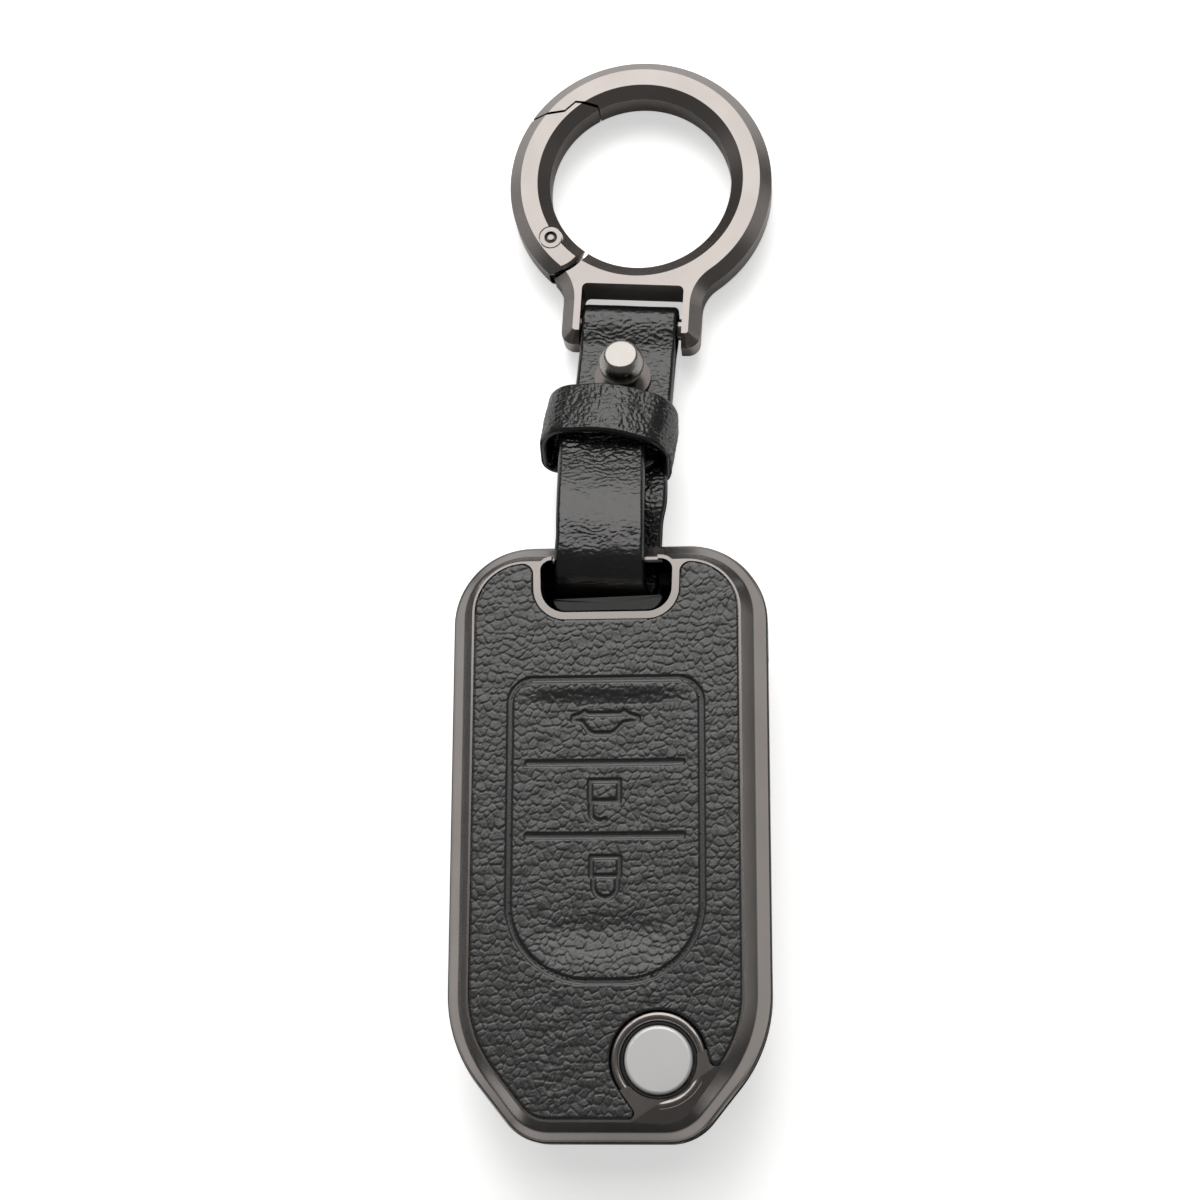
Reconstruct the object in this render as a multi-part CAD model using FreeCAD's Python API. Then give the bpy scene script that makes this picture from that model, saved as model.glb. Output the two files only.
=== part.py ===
"""Key fob cover: a two-part die-cast case with leather faces, on a leather strap with a spring ring.

Millimetres, +Z up. The origin is the middle of the back face, on which the cover lies; +Y points to
the ring. The case is drawn in heights above its parting plane, and the back half mirrors the front one.
"""
import FreeCAD, Part
import math
import os

Vector = FreeCAD.Vector
ORIGIN = Vector(0, 0, 0)
ACROSS = Vector(1, 0, 0)
UPWARD = Vector(0, 0, 1)

# Case outline, seen from the front
case_length = 78.4
case_width = 42.0
case_thickness = 20.4
top_corner_radius = 10.5
chamfer_across = 9.9
chamfer_along = 12.3
chamfer_side_radius = 19.0
chamfer_end_radius = 7.0

# Rim between the outline and the leather, side by side
side_rim = 3.7
top_rim = 4.1
bottom_rim = 2.7
chamfer_rim = 3.3
crease_share = 0.48
lip_width = 0.28

# Frame section, as heights above the parting plane
wall_height = 2.9
crease_height = 5.3
lip_height = 10.0
wall_round = 3.0
crease_round = 2.5
round_steps = 3
frame_wall = 1.3
leather_ledge = 0.6
smallest_radius = 0.4
rim_reach = 4.0
upright_tolerance = 0.001

# Leather, liner and the gaps between them
leather_thickness = 1.4
leather_proud = 0.2
bond_gap = 0.05
panel_gap = 0.12
liner_wall = 1.2
liner_plate = 1.6
locating_lip = 0.55
locating_height = 1.2
locating_gap = 0.12
overrun = 5.0

# Strap window in the front and the open notch behind it
window_top_width = 17.5
window_taper = 0.5
window_depth = 7.3
window_corner_radius = 3.3
window_top_radius = 1.6
window_rim = 0.95
window_rim_depth = 2.7
lobe_radius = 1.5

# Bar that the strap hangs on
bar_depth = 3.5
bar_low = 0.2
bar_high = 7.2
bar_round = 0.4
bar_overlap = 0.4
bar_strap_gap = 0.5

# Slot for the key's folding blade, in the right side and the lower right corner
blade_slot_height = 4.6
blade_slot_from_end = 15.2
blade_slot_reach = 11.5

# Release button and its ring in the lower right corner
release_from_side = 14.25
release_from_end = 10.0
release_radius = 4.28
release_gap = 0.55
release_ring_wall = 1.27
release_ring_depth = 1.7
release_ring_round = 0.55
release_proud = 0.1
release_round = 0.45
release_flange = 0.55
release_flange_thickness = 0.6
release_flange_gap = 0.1
release_travel = 0.8
release_pad_radius = 3.1
release_pad_gap = 0.3
release_pad_nub = 0.4
release_shelf = 0.8
release_shelf_margin = 1.0
web_fold = 4.5
web_fall_angle = -57.4
web_slope = 20.0
web_right_angle = 14.0
web_left_angle = -144.0
tip_radius = 0.8

# Dished field with the three soft keys
field_half_width = 12.4
field_from_top = 19.85
field_from_bottom = 19.75
field_top_radius = 3.0
field_bottom_radius = 10.0
field_margin = 0.5
floor_half_width = 10.3
floor_from_top = 2.35
floor_from_bottom = 7.95
floor_top_radius = 1.6
floor_bottom_radius = 6.0
dish_depth = 0.7
dish_land = 0.5
key_gap = 0.2
first_divider_share = 0.719
second_divider_share = 0.4755
key_room = 0.75
plunger_width = 14.0
plunger_height_share = 0.55
plunger_radius = 1.2
plunger_gap = 0.3
plunger_nub = 0.5

# Strap, as a ribbon round the case's bar and the ring's bar
strap_width = 13.6
strap_thickness = 1.5
layer_gap = 0.1
bight_room = 0.55
strap_fall = 36.6
strap_lean = 3.5
rear_leg_run = 11.0
front_leg_run = 15.0
tongue_end = 23.4
tongue_left = 6.7
tongue_right = 5.1
tongue_drift = 1.6
upper_layer_end = 12.5
fold_run = 5.5
fold_gap = 0.15

# Keeper loop on the strap
keeper_place = 20.5
keeper_length = 7.4
keeper_half_width = 9.4
keeper_shift = -0.9
keeper_thickness = 1.4
keeper_below = 0.35
keeper_side_height = 4.3
keeper_crown = 2.6
keeper_corner_radius = 2.4
keeper_crown_radius = 16.0

# Ball stud and its screw
stud_place = 27.9
stud_shift = -0.4
stud_ball_radius = 3.1
stud_flat_radius = 2.2
stud_flat_round = 0.5
stud_neck_radius = 2.0
stud_neck_height = 0.9
stud_flange_radius = 3.9
stud_flange_thickness = 0.9
stud_post_radius = 1.5
stud_hole_gap = 0.05
screw_radius = 0.9
screw_bore_gap = 0.05
screw_head_radius = 3.2
screw_head_thickness = 0.8
screw_slot_width = 0.8
screw_slot_depth = 0.4

# Spring ring
ring_outer_radius = 18.75
ring_band = 5.75
ring_thickness = 6.4
ring_outer_bevel_across = 1.65
ring_outer_bevel_along = 1.5
ring_inner_bevel_across = 1.7
ring_inner_bevel_along = 1.3
yoke_drop = 2.65
yoke_half_width = 9.8
yoke_slot_half_width = 7.2
yoke_slot_top = 5.4
yoke_slot_radius = 0.8
yoke_ear_length = 3.3
yoke_ear_radius = 1.8
yoke_neck_radius = 5.0
crossbar_radius = 1.5
crossbar_root = 1.0

# Gate of the ring, with its nose, pivot and spring
nose_outer_angle = 150.8
nose_step_depth = 2.3
nose_low_angle = 138.7
nose_high_angle = 130.9
nose_inner_angle = 121.3
nose_inner_depth = 0.3
nose_gap = 0.36
pivot_angle = 217.3
pivot_depth = 2.3
gate_end_radius = 5.1
gate_end_gap = 0.6
gate_end_bevel = 0.45
hinge_slot_height = 3.0
hinge_gap = 0.1
tongue_plate = 1.1
tongue_plate_radius = 2.5
tongue_plate_gap = 0.5
tongue_neck_half_width = 1.4
tongue_neck_length = 8.0
gate_opening = 30.0
gate_slot_margin = 38.0
pin_radius = 1.0
pin_press_gap = 0.02
pin_running_gap = 0.05
pin_head_radius = 1.55
pin_head_thickness = 0.7
pin_head_gap = 0.16
pin_recess_radius = 0.85
pin_recess_depth = 0.3
pin_pip_radius = 0.4
pin_foot_gap = 0.15
spring_wire_radius = 0.2
spring_coil_radius = 1.75
spring_pitch = 0.52
spring_quarter_turns = 8
spring_lift = 0.27
spring_fixed_leg = 3.4
spring_gate_leg = 1.45

# Places worked out from the sizes above
half_length = case_length / 2
half_width = case_width / 2
parting = case_thickness / 2
seat_height = lip_height - leather_thickness + leather_proud - bond_gap
face_height = seat_height + leather_thickness
plate_underside = seat_height - liner_plate
window_top = half_length - bar_depth
window_bottom = window_top - window_depth
bar_middle_y = half_length - bar_depth / 2
bar_middle_height = (bar_low + bar_high) / 2
bight_inside = math.hypot(bar_depth, bar_high - bar_low) / 2 + bight_room
ring_middle = ring_thickness / 2
fold_inside = crossbar_radius + fold_gap
strap_drop = parting + bar_middle_height - ring_middle
strap_span = math.hypot(strap_fall, strap_drop)
strap_slope = math.degrees(math.atan2(strap_drop, strap_fall))
window_bottom_width = window_top_width - window_taper
field_top = half_length - field_from_top
field_bottom = field_from_bottom - half_length
floor_top = field_top - floor_from_top
floor_bottom = field_bottom + floor_from_bottom
floor_height = face_height - dish_depth
first_divider = field_bottom + (field_top - field_bottom) * first_divider_share
second_divider = field_bottom + (field_top - field_bottom) * second_divider_share
plunger_height = (first_divider - second_divider) * plunger_height_share
ring_hole_radius = ring_outer_radius - ring_band
ring_reach = ring_outer_radius + yoke_drop


def shifted_line(start, end, distance):
    """The line from start to end, moved to its left by distance."""
    along = (end - start).normalize()
    return start + UPWARD.cross(along) * distance, along


def crossing(first, second):
    """Where two lines in the plan cross."""
    start, along = first
    other, towards = second
    share = (other - start).cross(towards).z / along.cross(towards).z
    return start + along * share


def inset_corners(corners, distances):
    """An outline's corners with each edge moved inwards by its own distance; edge i leaves corner i."""
    count = len(corners)
    lines = [shifted_line(corners[i], corners[(i + 1) % count], distances[i]) for i in range(count)]
    return [crossing(lines[i - 1], lines[i]) for i in range(count)]


def rounded_wire(corners, radii, height=0):
    """A closed outline with each corner rounded by its own radius, at a height."""
    count = len(corners)
    ends = []
    for i, corner in enumerate(corners):
        arriving = (corner - corners[i - 1]).normalize()
        leaving = (corners[(i + 1) % count] - corner).normalize()
        half_turn = arriving.getAngle(leaving) / 2
        reach = radii[i] * math.tan(half_turn)
        start = corner - arriving * reach
        end = corner + leaving * reach
        inwards = (leaving - arriving).normalize()
        middle = corner + inwards * (radii[i] * (1 / math.cos(half_turn) - 1))
        ends.append((start, middle, end))
    edges = []
    for i, (start, middle, end) in enumerate(ends):
        if radii[i] > 0:
            edges.append(Part.Arc(start, middle, end).toShape())
        edges.append(Part.LineSegment(end, ends[(i + 1) % count][0]).toShape())
    wire = Part.Wire(edges)
    wire.translate(Vector(0, 0, height))
    return wire


def plan(*points):
    return [Vector(x, y, 0) for x, y in points]


def plate(corners, radii, bottom, top):
    """A flat piece with a rounded outline between two heights."""
    face = Part.Face(rounded_wire(corners, radii, bottom))
    return face.extrude(Vector(0, 0, top - bottom))


def block(x_range, y_range, z_range):
    size = [high - low for low, high in (x_range, y_range, z_range)]
    return Part.makeBox(*size, Vector(x_range[0], y_range[0], z_range[0]))


def turned(profile, place=ORIGIN):
    """A round piece from (radius, height) points, turned about an upright axis at a place."""
    points = [Vector(radius, 0, height) for radius, height in profile]
    face = Part.Face(Part.makePolygon(points + points[:1]))
    piece = face.revolve(ORIGIN, UPWARD, 360)
    piece.translate(place)
    return piece


def rounded_at(piece, height, radius):
    """A piece with the edges that lie at a height rounded off."""
    edges = [edge for edge in piece.Edges if edge.BoundBox.ZMin > height - bond_gap]
    return piece.makeFillet(radius, edges)


def cylinder(radius, bottom, top, place=ORIGIN):
    return Part.makeCylinder(radius, top - bottom, place + Vector(0, 0, bottom))


def drawn_across(face, half_length_across):
    """A face drawn as (y, z) in the plan, made into a piece that runs across the object."""
    piece = face.extrude(Vector(0, 0, 2 * half_length_across))
    piece.translate(Vector(0, 0, -half_length_across))
    piece.rotate(ORIGIN, Vector(1, 1, 1), 120)
    return piece


def case_wire(rim_share, extra, height):
    """The case's outline, drawn in by a share of the rim and an extra distance."""
    corners = plan((half_width, half_length), (-half_width, half_length),
                   (-half_width, chamfer_along - half_length), (chamfer_across - half_width, -half_length),
                   (half_width - chamfer_across, -half_length), (half_width, chamfer_along - half_length))
    rims = [top_rim, side_rim, chamfer_rim, bottom_rim, chamfer_rim, side_rim]
    radii = [top_corner_radius, top_corner_radius, chamfer_side_radius,
             chamfer_end_radius, chamfer_end_radius, chamfer_side_radius]
    inset = [rim * rim_share + extra for rim in rims]
    rounded = [max(radii[i] - (inset[i - 1] + inset[i]) / 2, smallest_radius) for i in range(len(radii))]
    return rounded_wire(inset_corners(corners, inset), rounded, height)


def case_stack(*levels):
    """A solid through the case's outline at several levels of (rim share, extra, height)."""
    return Part.makeLoft([case_wire(*level) for level in levels], True, True)


def in_front(piece):
    return piece.translated(Vector(0, 0, parting))


def behind(piece):
    return piece.mirror(ORIGIN, UPWARD).translated(Vector(0, 0, parting))


def window_plate(grow, top, bottom_height, top_height, top_radius=0):
    """The strap window's outline, grown by a margin and ending at a given top edge."""
    low = window_bottom_width / 2 + grow
    high = window_top_width / 2 + grow
    base = window_bottom - grow
    corners = plan((-low, base), (low, base), (high, top), (-high, top))
    bottom_radius = window_corner_radius + grow
    return plate(corners, [bottom_radius, bottom_radius, top_radius, top_radius], bottom_height, top_height)


def field_plate(grow, bottom, top):
    """The outline of the field with the soft keys, grown by a margin."""
    side = field_half_width + grow
    corners = plan((-side, field_bottom - grow), (side, field_bottom - grow),
                   (side, field_top + grow), (-side, field_top + grow))
    low = field_bottom_radius + grow
    high = field_top_radius + grow
    return plate(corners, [low, low, high, high], bottom, top)


def rounded_levels(before, corner, after, radius):
    """Levels along the arc that rounds one corner of the rim's section."""
    points = [Vector(share * side_rim + extra, height, 0)
              for share, extra, height in (before, corner, after)]
    arriving = (points[1] - points[0]).normalize()
    leaving = (points[2] - points[1]).normalize()
    turn = arriving.getAngle(leaving)
    start = points[1] - arriving * (radius * math.tan(turn / 2))
    aside = (leaving - arriving * arriving.dot(leaving)).normalize()
    levels = []
    for step in range(round_steps + 1):
        angle = turn * step / round_steps
        point = start + arriving * (radius * math.sin(angle)) + aside * (radius * (1 - math.cos(angle)))
        levels.append((point.x / side_rim, 0, point.y))
    return levels


# Die-cast frame of one half, with a ledge for the leather
foot = (0, 0, 0)
wall_top = (0, 0, wall_height)
crease = (crease_share, 0, crease_height)
lip = (1, -lip_width, lip_height)
frame_outside = case_stack(foot, *rounded_levels(foot, wall_top, crease, wall_round),
                           *rounded_levels(wall_top, crease, lip, crease_round), lip)
frame_inside = case_stack((0, frame_wall, -overrun), (0, frame_wall, wall_height),
                          (crease_share, frame_wall, crease_height), (1, leather_ledge, seat_height))
face_opening = case_stack((1, 0, seat_height - bond_gap), (1, 0, lip_height + overrun))
half_frame = frame_outside.cut(frame_inside).cut(face_opening)

# Soft liner of one half: a tray under the leather, hollow for the key
liner_skin = frame_wall + bond_gap
pocket_skin = liner_skin + liner_wall
liner_outside = case_stack((0, liner_skin, 0), (0, liner_skin, wall_height),
                           (crease_share, liner_skin, crease_height),
                           (1, leather_ledge + bond_gap, seat_height))
key_pocket = case_stack((0, pocket_skin, -overrun), (0, pocket_skin, wall_height),
                        (crease_share, pocket_skin, crease_height),
                        (1, leather_ledge + bond_gap + liner_wall, plate_underside))
half_liner = liner_outside.cut(key_pocket)

# Blade slot, cut half from each part of the case
blade_slot = block((half_width - blade_slot_reach, half_width + overrun),
                   (-half_length - overrun, half_length - blade_slot_from_end),
                   (-blade_slot_height / 2, blade_slot_height / 2))

# Release button's ring and the web that joins it to the rim
release_place = Vector(half_width - release_from_side, release_from_end - half_length, 0)
ring_bore = release_radius + release_gap
ring_edge = ring_bore + release_ring_wall
ring_underside = lip_height - release_ring_depth
release_ring = turned([(ring_bore, ring_underside), (ring_edge, ring_underside),
                       (ring_edge, lip_height), (ring_bore, lip_height)], release_place)
release_ring = rounded_at(release_ring, lip_height, release_ring_round)


def web_fan(gap, bottom, top):
    """The wedge between the release ring and the rim, inside two lines that touch the ring with a gap."""
    right, left = [Vector(math.cos(math.radians(angle)), math.sin(math.radians(angle)), 0)
                   for angle in (web_right_angle, web_left_angle)]
    right_start = release_place + right * (ring_edge + gap)
    left_start = release_place + left * (ring_edge + gap)
    apex = crossing((left_start, UPWARD.cross(left)), (right_start, right.cross(UPWARD)))
    return plate([right_start, left_start, apex], [0, 0, 0], bottom, top)


def upright_edges(piece, wanted):
    """The upright edges of a piece whose places in the plan are wanted."""
    found = []
    for edge in piece.Edges:
        upright = abs(edge.tangentAt(edge.FirstParameter).z) > 1 - upright_tolerance
        if upright and wanted(Vector(edge.CenterOfMass.x, edge.CenterOfMass.y, 0)):
            found.append(edge)
    return found


def by_web(place):
    return ring_edge + 2 * panel_gap < (place - release_place).Length < ring_edge + rim_reach


def by_window(place):
    rim_side = window_top_width / 2 + window_rim
    return place.y > window_top - lobe_radius and abs(place.x) < rim_side + lobe_radius


def face_panel(gap, bottom, top):
    """The front's face inside the rim, the window and the release ring with its web, drawn in by a gap,
    with round tips."""
    panel = case_stack((1, gap, bottom), (1, gap, top))
    panel = panel.cut(cylinder(ring_edge + gap, bottom - overrun, top + overrun, release_place))
    panel = panel.cut(web_fan(gap, bottom - overrun, top + overrun))
    panel = panel.cut(window_plate(window_rim + gap, half_length, bottom - overrun, top + overrun))
    panel = panel.makeFillet(tip_radius - gap, upright_edges(panel, by_web))
    return panel.makeFillet(lobe_radius - gap, upright_edges(panel, by_window))


# The web is level with the lip between the leather's tips, and falls away from there to the corner
web_outline = case_stack((1, -lip_width, seat_height), (1, -lip_width, lip_height))
release_web = web_fan(tip_radius, seat_height, lip_height).common(web_outline)
face_room = face_panel(0, seat_height - overrun, lip_height + overrun)
release_web = release_web.cut(face_room)
release_web = release_web.cut(cylinder(ring_bore, 0, lip_height + overrun, release_place))
above_web = block((0, 2 * ring_edge), (-2 * ring_edge, 2 * ring_edge), (0, overrun))
above_web.rotate(ORIGIN, Vector(0, 1, 0), web_slope)
above_web.translate(Vector(web_fold, 0, lip_height))
above_web.rotate(ORIGIN, UPWARD, web_fall_angle)
above_web.translate(release_place)

# Front frame: window rim, strap bar, release ring and web on the half frame
window_rim_low = lip_height - window_rim_depth
window_rim_top = half_length - top_rim * crease_share
front_window_rim = window_plate(window_rim, window_rim_top, window_rim_low, lip_height)
front_window_rim = front_window_rim.common(frame_outside)
lobe_fill = window_plate(window_rim + lobe_radius, window_rim_top, seat_height, lip_height)
lobe_fill = lobe_fill.common(web_outline).cut(face_room)
lobe_fill = lobe_fill.common(block((-half_width, half_width), (window_top - window_depth / 2, half_length),
                                   (seat_height, lip_height)))
window_void = window_plate(0, window_top, -overrun, lip_height + overrun, window_top_radius)
bar_half_width = window_top_width / 2
bar_room_half = strap_width / 2 + bar_strap_gap
bar_room = block((-bar_room_half, bar_room_half),
                 (window_bottom + window_corner_radius, half_length + overrun),
                 (-overrun, lip_height + overrun))
strap_bar = frame_outside.common(block((-bar_half_width - bar_overlap, bar_half_width + bar_overlap),
                                       (window_top, half_length + overrun), (bar_low, bar_high)))
inner_edges = [edge for edge in strap_bar.Edges
               if edge.BoundBox.YMax < window_top + bond_gap and edge.BoundBox.XLength > bar_half_width]
strap_bar = strap_bar.makeFillet(bar_round, inner_edges)
front_frame = half_frame.fuse([front_window_rim, lobe_fill, release_web])
front_frame = front_frame.cut(window_void).cut(bar_room).cut(above_web)
front_frame = front_frame.fuse([strap_bar, release_ring])
front_frame = front_frame.cut(blade_slot).removeSplitter()

# Front liner: tunnel round the window, room for the keys, and a shelf under the release button
flange_top = ring_underside - release_flange_gap
flange_underside = flange_top - release_flange_thickness
shelf_top = flange_underside - release_travel - release_flange_gap
shelf_underside = shelf_top - release_shelf
flange_radius = release_radius + release_gap + release_flange
pad_bore = release_pad_radius + release_pad_gap
tunnel_wall = window_plate(window_rim, window_rim_top, 0, window_rim_low - bond_gap).common(liner_outside)
shelf = cylinder(flange_radius + release_shelf_margin, shelf_underside, plate_underside, release_place)
bar_clear = block((-bar_half_width - bar_overlap - bond_gap, bar_half_width + bar_overlap + bond_gap),
                  (window_top - bond_gap, half_length + overrun), (-overrun, lip_height + overrun))
front_liner = half_liner.fuse([tunnel_wall, shelf.common(liner_outside)])
front_liner = front_liner.cut(window_plate(window_rim + bond_gap, half_length, window_rim_low - bond_gap,
                                           lip_height + overrun))
front_liner = front_liner.cut(window_void).cut(bar_clear)
front_liner = front_liner.cut(field_plate(field_margin, seat_height - key_room, lip_height + overrun))
front_liner = front_liner.cut(cylinder(ring_edge + bond_gap, ring_underside - bond_gap, lip_height,
                                       release_place))
front_liner = front_liner.cut(cylinder(flange_radius + release_pad_gap, shelf_top, lip_height,
                                       release_place))
front_liner = front_liner.cut(cylinder(pad_bore, -overrun, lip_height, release_place))
rib_skin = pocket_skin - locating_lip
rabbet = case_stack((0, rib_skin - locating_gap, -overrun),
                    (0, rib_skin - locating_gap, locating_height + locating_gap))
notch_half_width = bar_half_width + window_rim + locating_lip
notch_room = block((-notch_half_width, notch_half_width),
                   (window_bottom - window_rim - locating_lip, half_length + overrun),
                   (-overrun, lip_height + overrun))
front_liner = front_liner.cut(rabbet.cut(notch_room)).cut(blade_slot)

# Soft keys: leather faces cut from one dished field, on plungers through the liner
field = field_plate(-key_gap, seat_height, face_height)
floor_corners = plan((-floor_half_width, floor_bottom), (floor_half_width, floor_bottom),
                     (floor_half_width, floor_top), (-floor_half_width, floor_top))
land = field_half_width - dish_land
land_corners = plan((-land, field_bottom + dish_land), (land, field_bottom + dish_land),
                    (land, field_top - dish_land), (-land, field_top - dish_land))
floor_radii = [floor_bottom_radius, floor_bottom_radius, floor_top_radius, floor_top_radius]
land_radii = [field_bottom_radius - dish_land] * 2 + [field_top_radius - dish_land] * 2
dish = Part.makeLoft([rounded_wire(floor_corners, floor_radii, floor_height),
                      rounded_wire(land_corners, land_radii, face_height)], True, True)
field = field.cut(dish)
key_zones = {
    "trunk": (first_divider + key_gap / 2, field_top),
    "unlock": (second_divider + key_gap / 2, first_divider - key_gap / 2),
    "lock": (field_bottom, second_divider - key_gap / 2),
}
key_middles = {
    "trunk": (first_divider + floor_top) / 2,
    "unlock": (first_divider + second_divider) / 2,
    "lock": (second_divider + floor_bottom) / 2,
}


def plunger(middle, grow, bottom, top):
    """A plunger's upright block, or with a margin the hole that it passes through."""
    across = plunger_width / 2 + grow
    along = plunger_height / 2 + grow
    corners = plan((-across, middle - along), (across, middle - along),
                   (across, middle + along), (-across, middle + along))
    return plate(corners, [plunger_radius + grow] * len(corners), bottom, top)


key_pieces = {}
for key, zone in key_zones.items():
    slab = block((-half_width, half_width), zone, (0, lip_height))
    key_pieces[key + "_key_face"] = field.common(slab)
    key_pieces[key + "_key_plunger"] = plunger(key_middles[key], 0, plate_underside - plunger_nub,
                                               seat_height)
    front_liner = front_liner.cut(plunger(key_middles[key], plunger_gap, 0, lip_height))

# Leather on the front, let in round the window, the field, the release ring and its web
front_leather = face_panel(panel_gap, seat_height, face_height)
front_leather = front_leather.cut(field_plate(0, 0, lip_height + overrun))

# Release button: a flanged cap held under the ring, with a soft pad that meets the key's own button
cap_top = lip_height + release_proud
release_button = turned([(0, flange_underside), (flange_radius, flange_underside),
                         (flange_radius, flange_top), (release_radius, flange_top),
                         (release_radius, cap_top), (0, cap_top)], release_place)
release_button = rounded_at(release_button, cap_top, release_round)
pad_underside = shelf_underside - release_pad_nub
release_pad = cylinder(release_pad_radius, pad_underside, flange_underside, release_place)

# Back half: frame, leather and liner with a notch that lets the strap out when the back comes off
notch_top = half_length + overrun
back_notch = window_plate(0, notch_top, -overrun, plate_underside)
back_frame = half_frame.cut(back_notch).cut(blade_slot).removeSplitter()
back_leather = case_stack((1, panel_gap, seat_height), (1, panel_gap, lip_height + leather_proud))
notch_wall = window_plate(window_rim, notch_top, 0, plate_underside + bond_gap).common(liner_outside)
locating_rib = case_stack((0, rib_skin, -locating_height), (0, rib_skin, wall_height))
locating_rib = locating_rib.cut(key_pocket).cut(notch_room)
locating_rib = locating_rib.common(block((-case_width, case_width), (-case_length, case_length),
                                         (-locating_height, wall_height)))
back_liner = half_liner.fuse([notch_wall, locating_rib])
back_liner = back_liner.cut(back_notch).cut(blade_slot).removeSplitter()

# Strap: one ribbon with its tongue end in front, drawn along its own slope from the bar of the case


def gentle_step(start, end):
    """Two equal arcs that carry the ribbon from one level to another."""
    run = end.x - start.x
    rise = end.y - start.y
    radius = (run * run + rise * rise) / (4 * abs(rise))
    quarter = math.asin(abs(run) / (2 * radius)) / 2
    swing = Vector(math.copysign(radius * math.sin(quarter), run),
                   math.copysign(radius * (1 - math.cos(quarter)), rise), 0)
    middle = (start + end) / 2
    return [Part.Arc(start, start + swing, middle).toShape(),
            Part.Arc(middle, end - swing, end).toShape()]


def ribbon(path, thickness):
    """The face of a ribbon with a steady thickness along a path of lines and arcs."""
    sides = []
    for side in (-1, 1):
        edges = []
        for edge in path:
            first, last = edge.ParameterRange
            points = []
            for place in (first, (first + last) / 2, last):
                normal = UPWARD.cross(edge.tangentAt(place))
                points.append(edge.valueAt(place) + normal * (side * thickness / 2))
            straight = isinstance(edge.Curve, Part.Line)
            edges.append(Part.LineSegment(points[0], points[-1]) if straight else Part.Arc(*points))
        sides.append([curve.toShape() for curve in edges])
    near, far = sides
    caps = [Part.LineSegment(near[end].Vertexes[end].Point, far[end].Vertexes[end].Point).toShape()
            for end in (0, -1)]
    return Part.Face(Part.Wire(Part.__sortEdges__(near + far + caps)))


layer = (strap_thickness + layer_gap) / 2
tongue_level = layer + strap_thickness + layer_gap
bight_radius = bight_inside + strap_thickness / 2
fold_radius = fold_inside + strap_thickness / 2
fold_start = strap_span - fold_run


def on_strap(along, height):
    return Vector(along, height, 0)


strap_path = [Part.LineSegment(on_strap(tongue_end, tongue_level),
                               on_strap(front_leg_run, tongue_level)).toShape()]
strap_path += gentle_step(on_strap(front_leg_run, tongue_level), on_strap(0, bight_radius))
strap_path.append(Part.Arc(on_strap(0, bight_radius), on_strap(-bight_radius, 0),
                           on_strap(0, -bight_radius)).toShape())
strap_path += gentle_step(on_strap(0, -bight_radius), on_strap(rear_leg_run, -layer))
strap_path.append(Part.LineSegment(on_strap(rear_leg_run, -layer), on_strap(fold_start, -layer)).toShape())
strap_path += gentle_step(on_strap(fold_start, -layer), on_strap(strap_span, -fold_radius))
strap_path.append(Part.Arc(on_strap(strap_span, -fold_radius), on_strap(strap_span + fold_radius, 0),
                           on_strap(strap_span, fold_radius)).toShape())
strap_path += gentle_step(on_strap(strap_span, fold_radius), on_strap(fold_start, layer))
strap_path.append(Part.LineSegment(on_strap(fold_start, layer), on_strap(upper_layer_end, layer)).toShape())
strap = drawn_across(ribbon(strap_path, strap_thickness), strap_width / 2)

# The tongue is narrower than the rest and lies a little askew; the upper layer ends round under the keeper
upper_surface = layer + (strap_thickness + layer_gap) / 2
bight_outside = bight_inside + strap_thickness
trim_top = bight_outside + overrun
trim_near = -bight_outside - overrun
trim_far = tongue_end + overrun
drift_near = tongue_drift * trim_near / tongue_end
drift_far = tongue_drift * trim_far / tongue_end
left_trim = plan((-tongue_left - drift_near, trim_near), (-tongue_left - drift_far, trim_far),
                 (-case_width, trim_far), (-case_width, trim_near))
right_trim = plan((tongue_right - drift_near, trim_near), (case_width, trim_near),
                  (case_width, trim_far), (tongue_right - drift_far, trim_far))
for corners in (left_trim, right_trim):
    strap = strap.cut(plate(corners, [0] * len(corners), upper_surface, trim_top))
end_middle = Vector(0, upper_layer_end + strap_width / 2, 0)
end_trim = block((-strap_width, strap_width), (upper_layer_end - overrun, end_middle.y), (0, upper_surface))
strap = strap.cut(end_trim.cut(cylinder(strap_width / 2, 0, upper_surface, end_middle)))
stud_middle = Vector(stud_shift, stud_place, 0)
layers_outside = layer + strap_thickness / 2
strap = strap.cut(cylinder(stud_post_radius + stud_hole_gap, -layers_outside - overrun,
                           layers_outside + overrun, stud_middle))

# Ball stud through both layers, with a slotted screw from behind
flange_seat = layers_outside
flange_crest = flange_seat + stud_flange_thickness
flat_latitude = math.degrees(math.acos(stud_flat_radius / stud_ball_radius))
neck_latitude = -math.degrees(math.acos(stud_neck_radius / stud_ball_radius))
ball_lift = math.sqrt(stud_ball_radius * stud_ball_radius - stud_neck_radius * stud_neck_radius)
ball_middle = flange_crest + stud_neck_height + ball_lift
stud_ball = Part.makeSphere(stud_ball_radius, stud_middle + Vector(0, 0, ball_middle), UPWARD,
                            neck_latitude, flat_latitude, 360)
stud_ball = rounded_at(stud_ball, stud_ball.BoundBox.ZMax, stud_flat_round)
stud_ball = stud_ball.fuse([cylinder(stud_neck_radius, flange_crest, ball_middle, stud_middle),
                            cylinder(stud_flange_radius, flange_seat, flange_crest, stud_middle),
                            cylinder(stud_post_radius, -layers_outside, flange_crest, stud_middle)])
screw_end = flange_crest
stud_ball = stud_ball.cut(cylinder(screw_radius + screw_bore_gap, -layers_outside - overrun,
                                   screw_end + screw_bore_gap, stud_middle)).removeSplitter()
screw_foot = -layers_outside - screw_head_thickness
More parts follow.
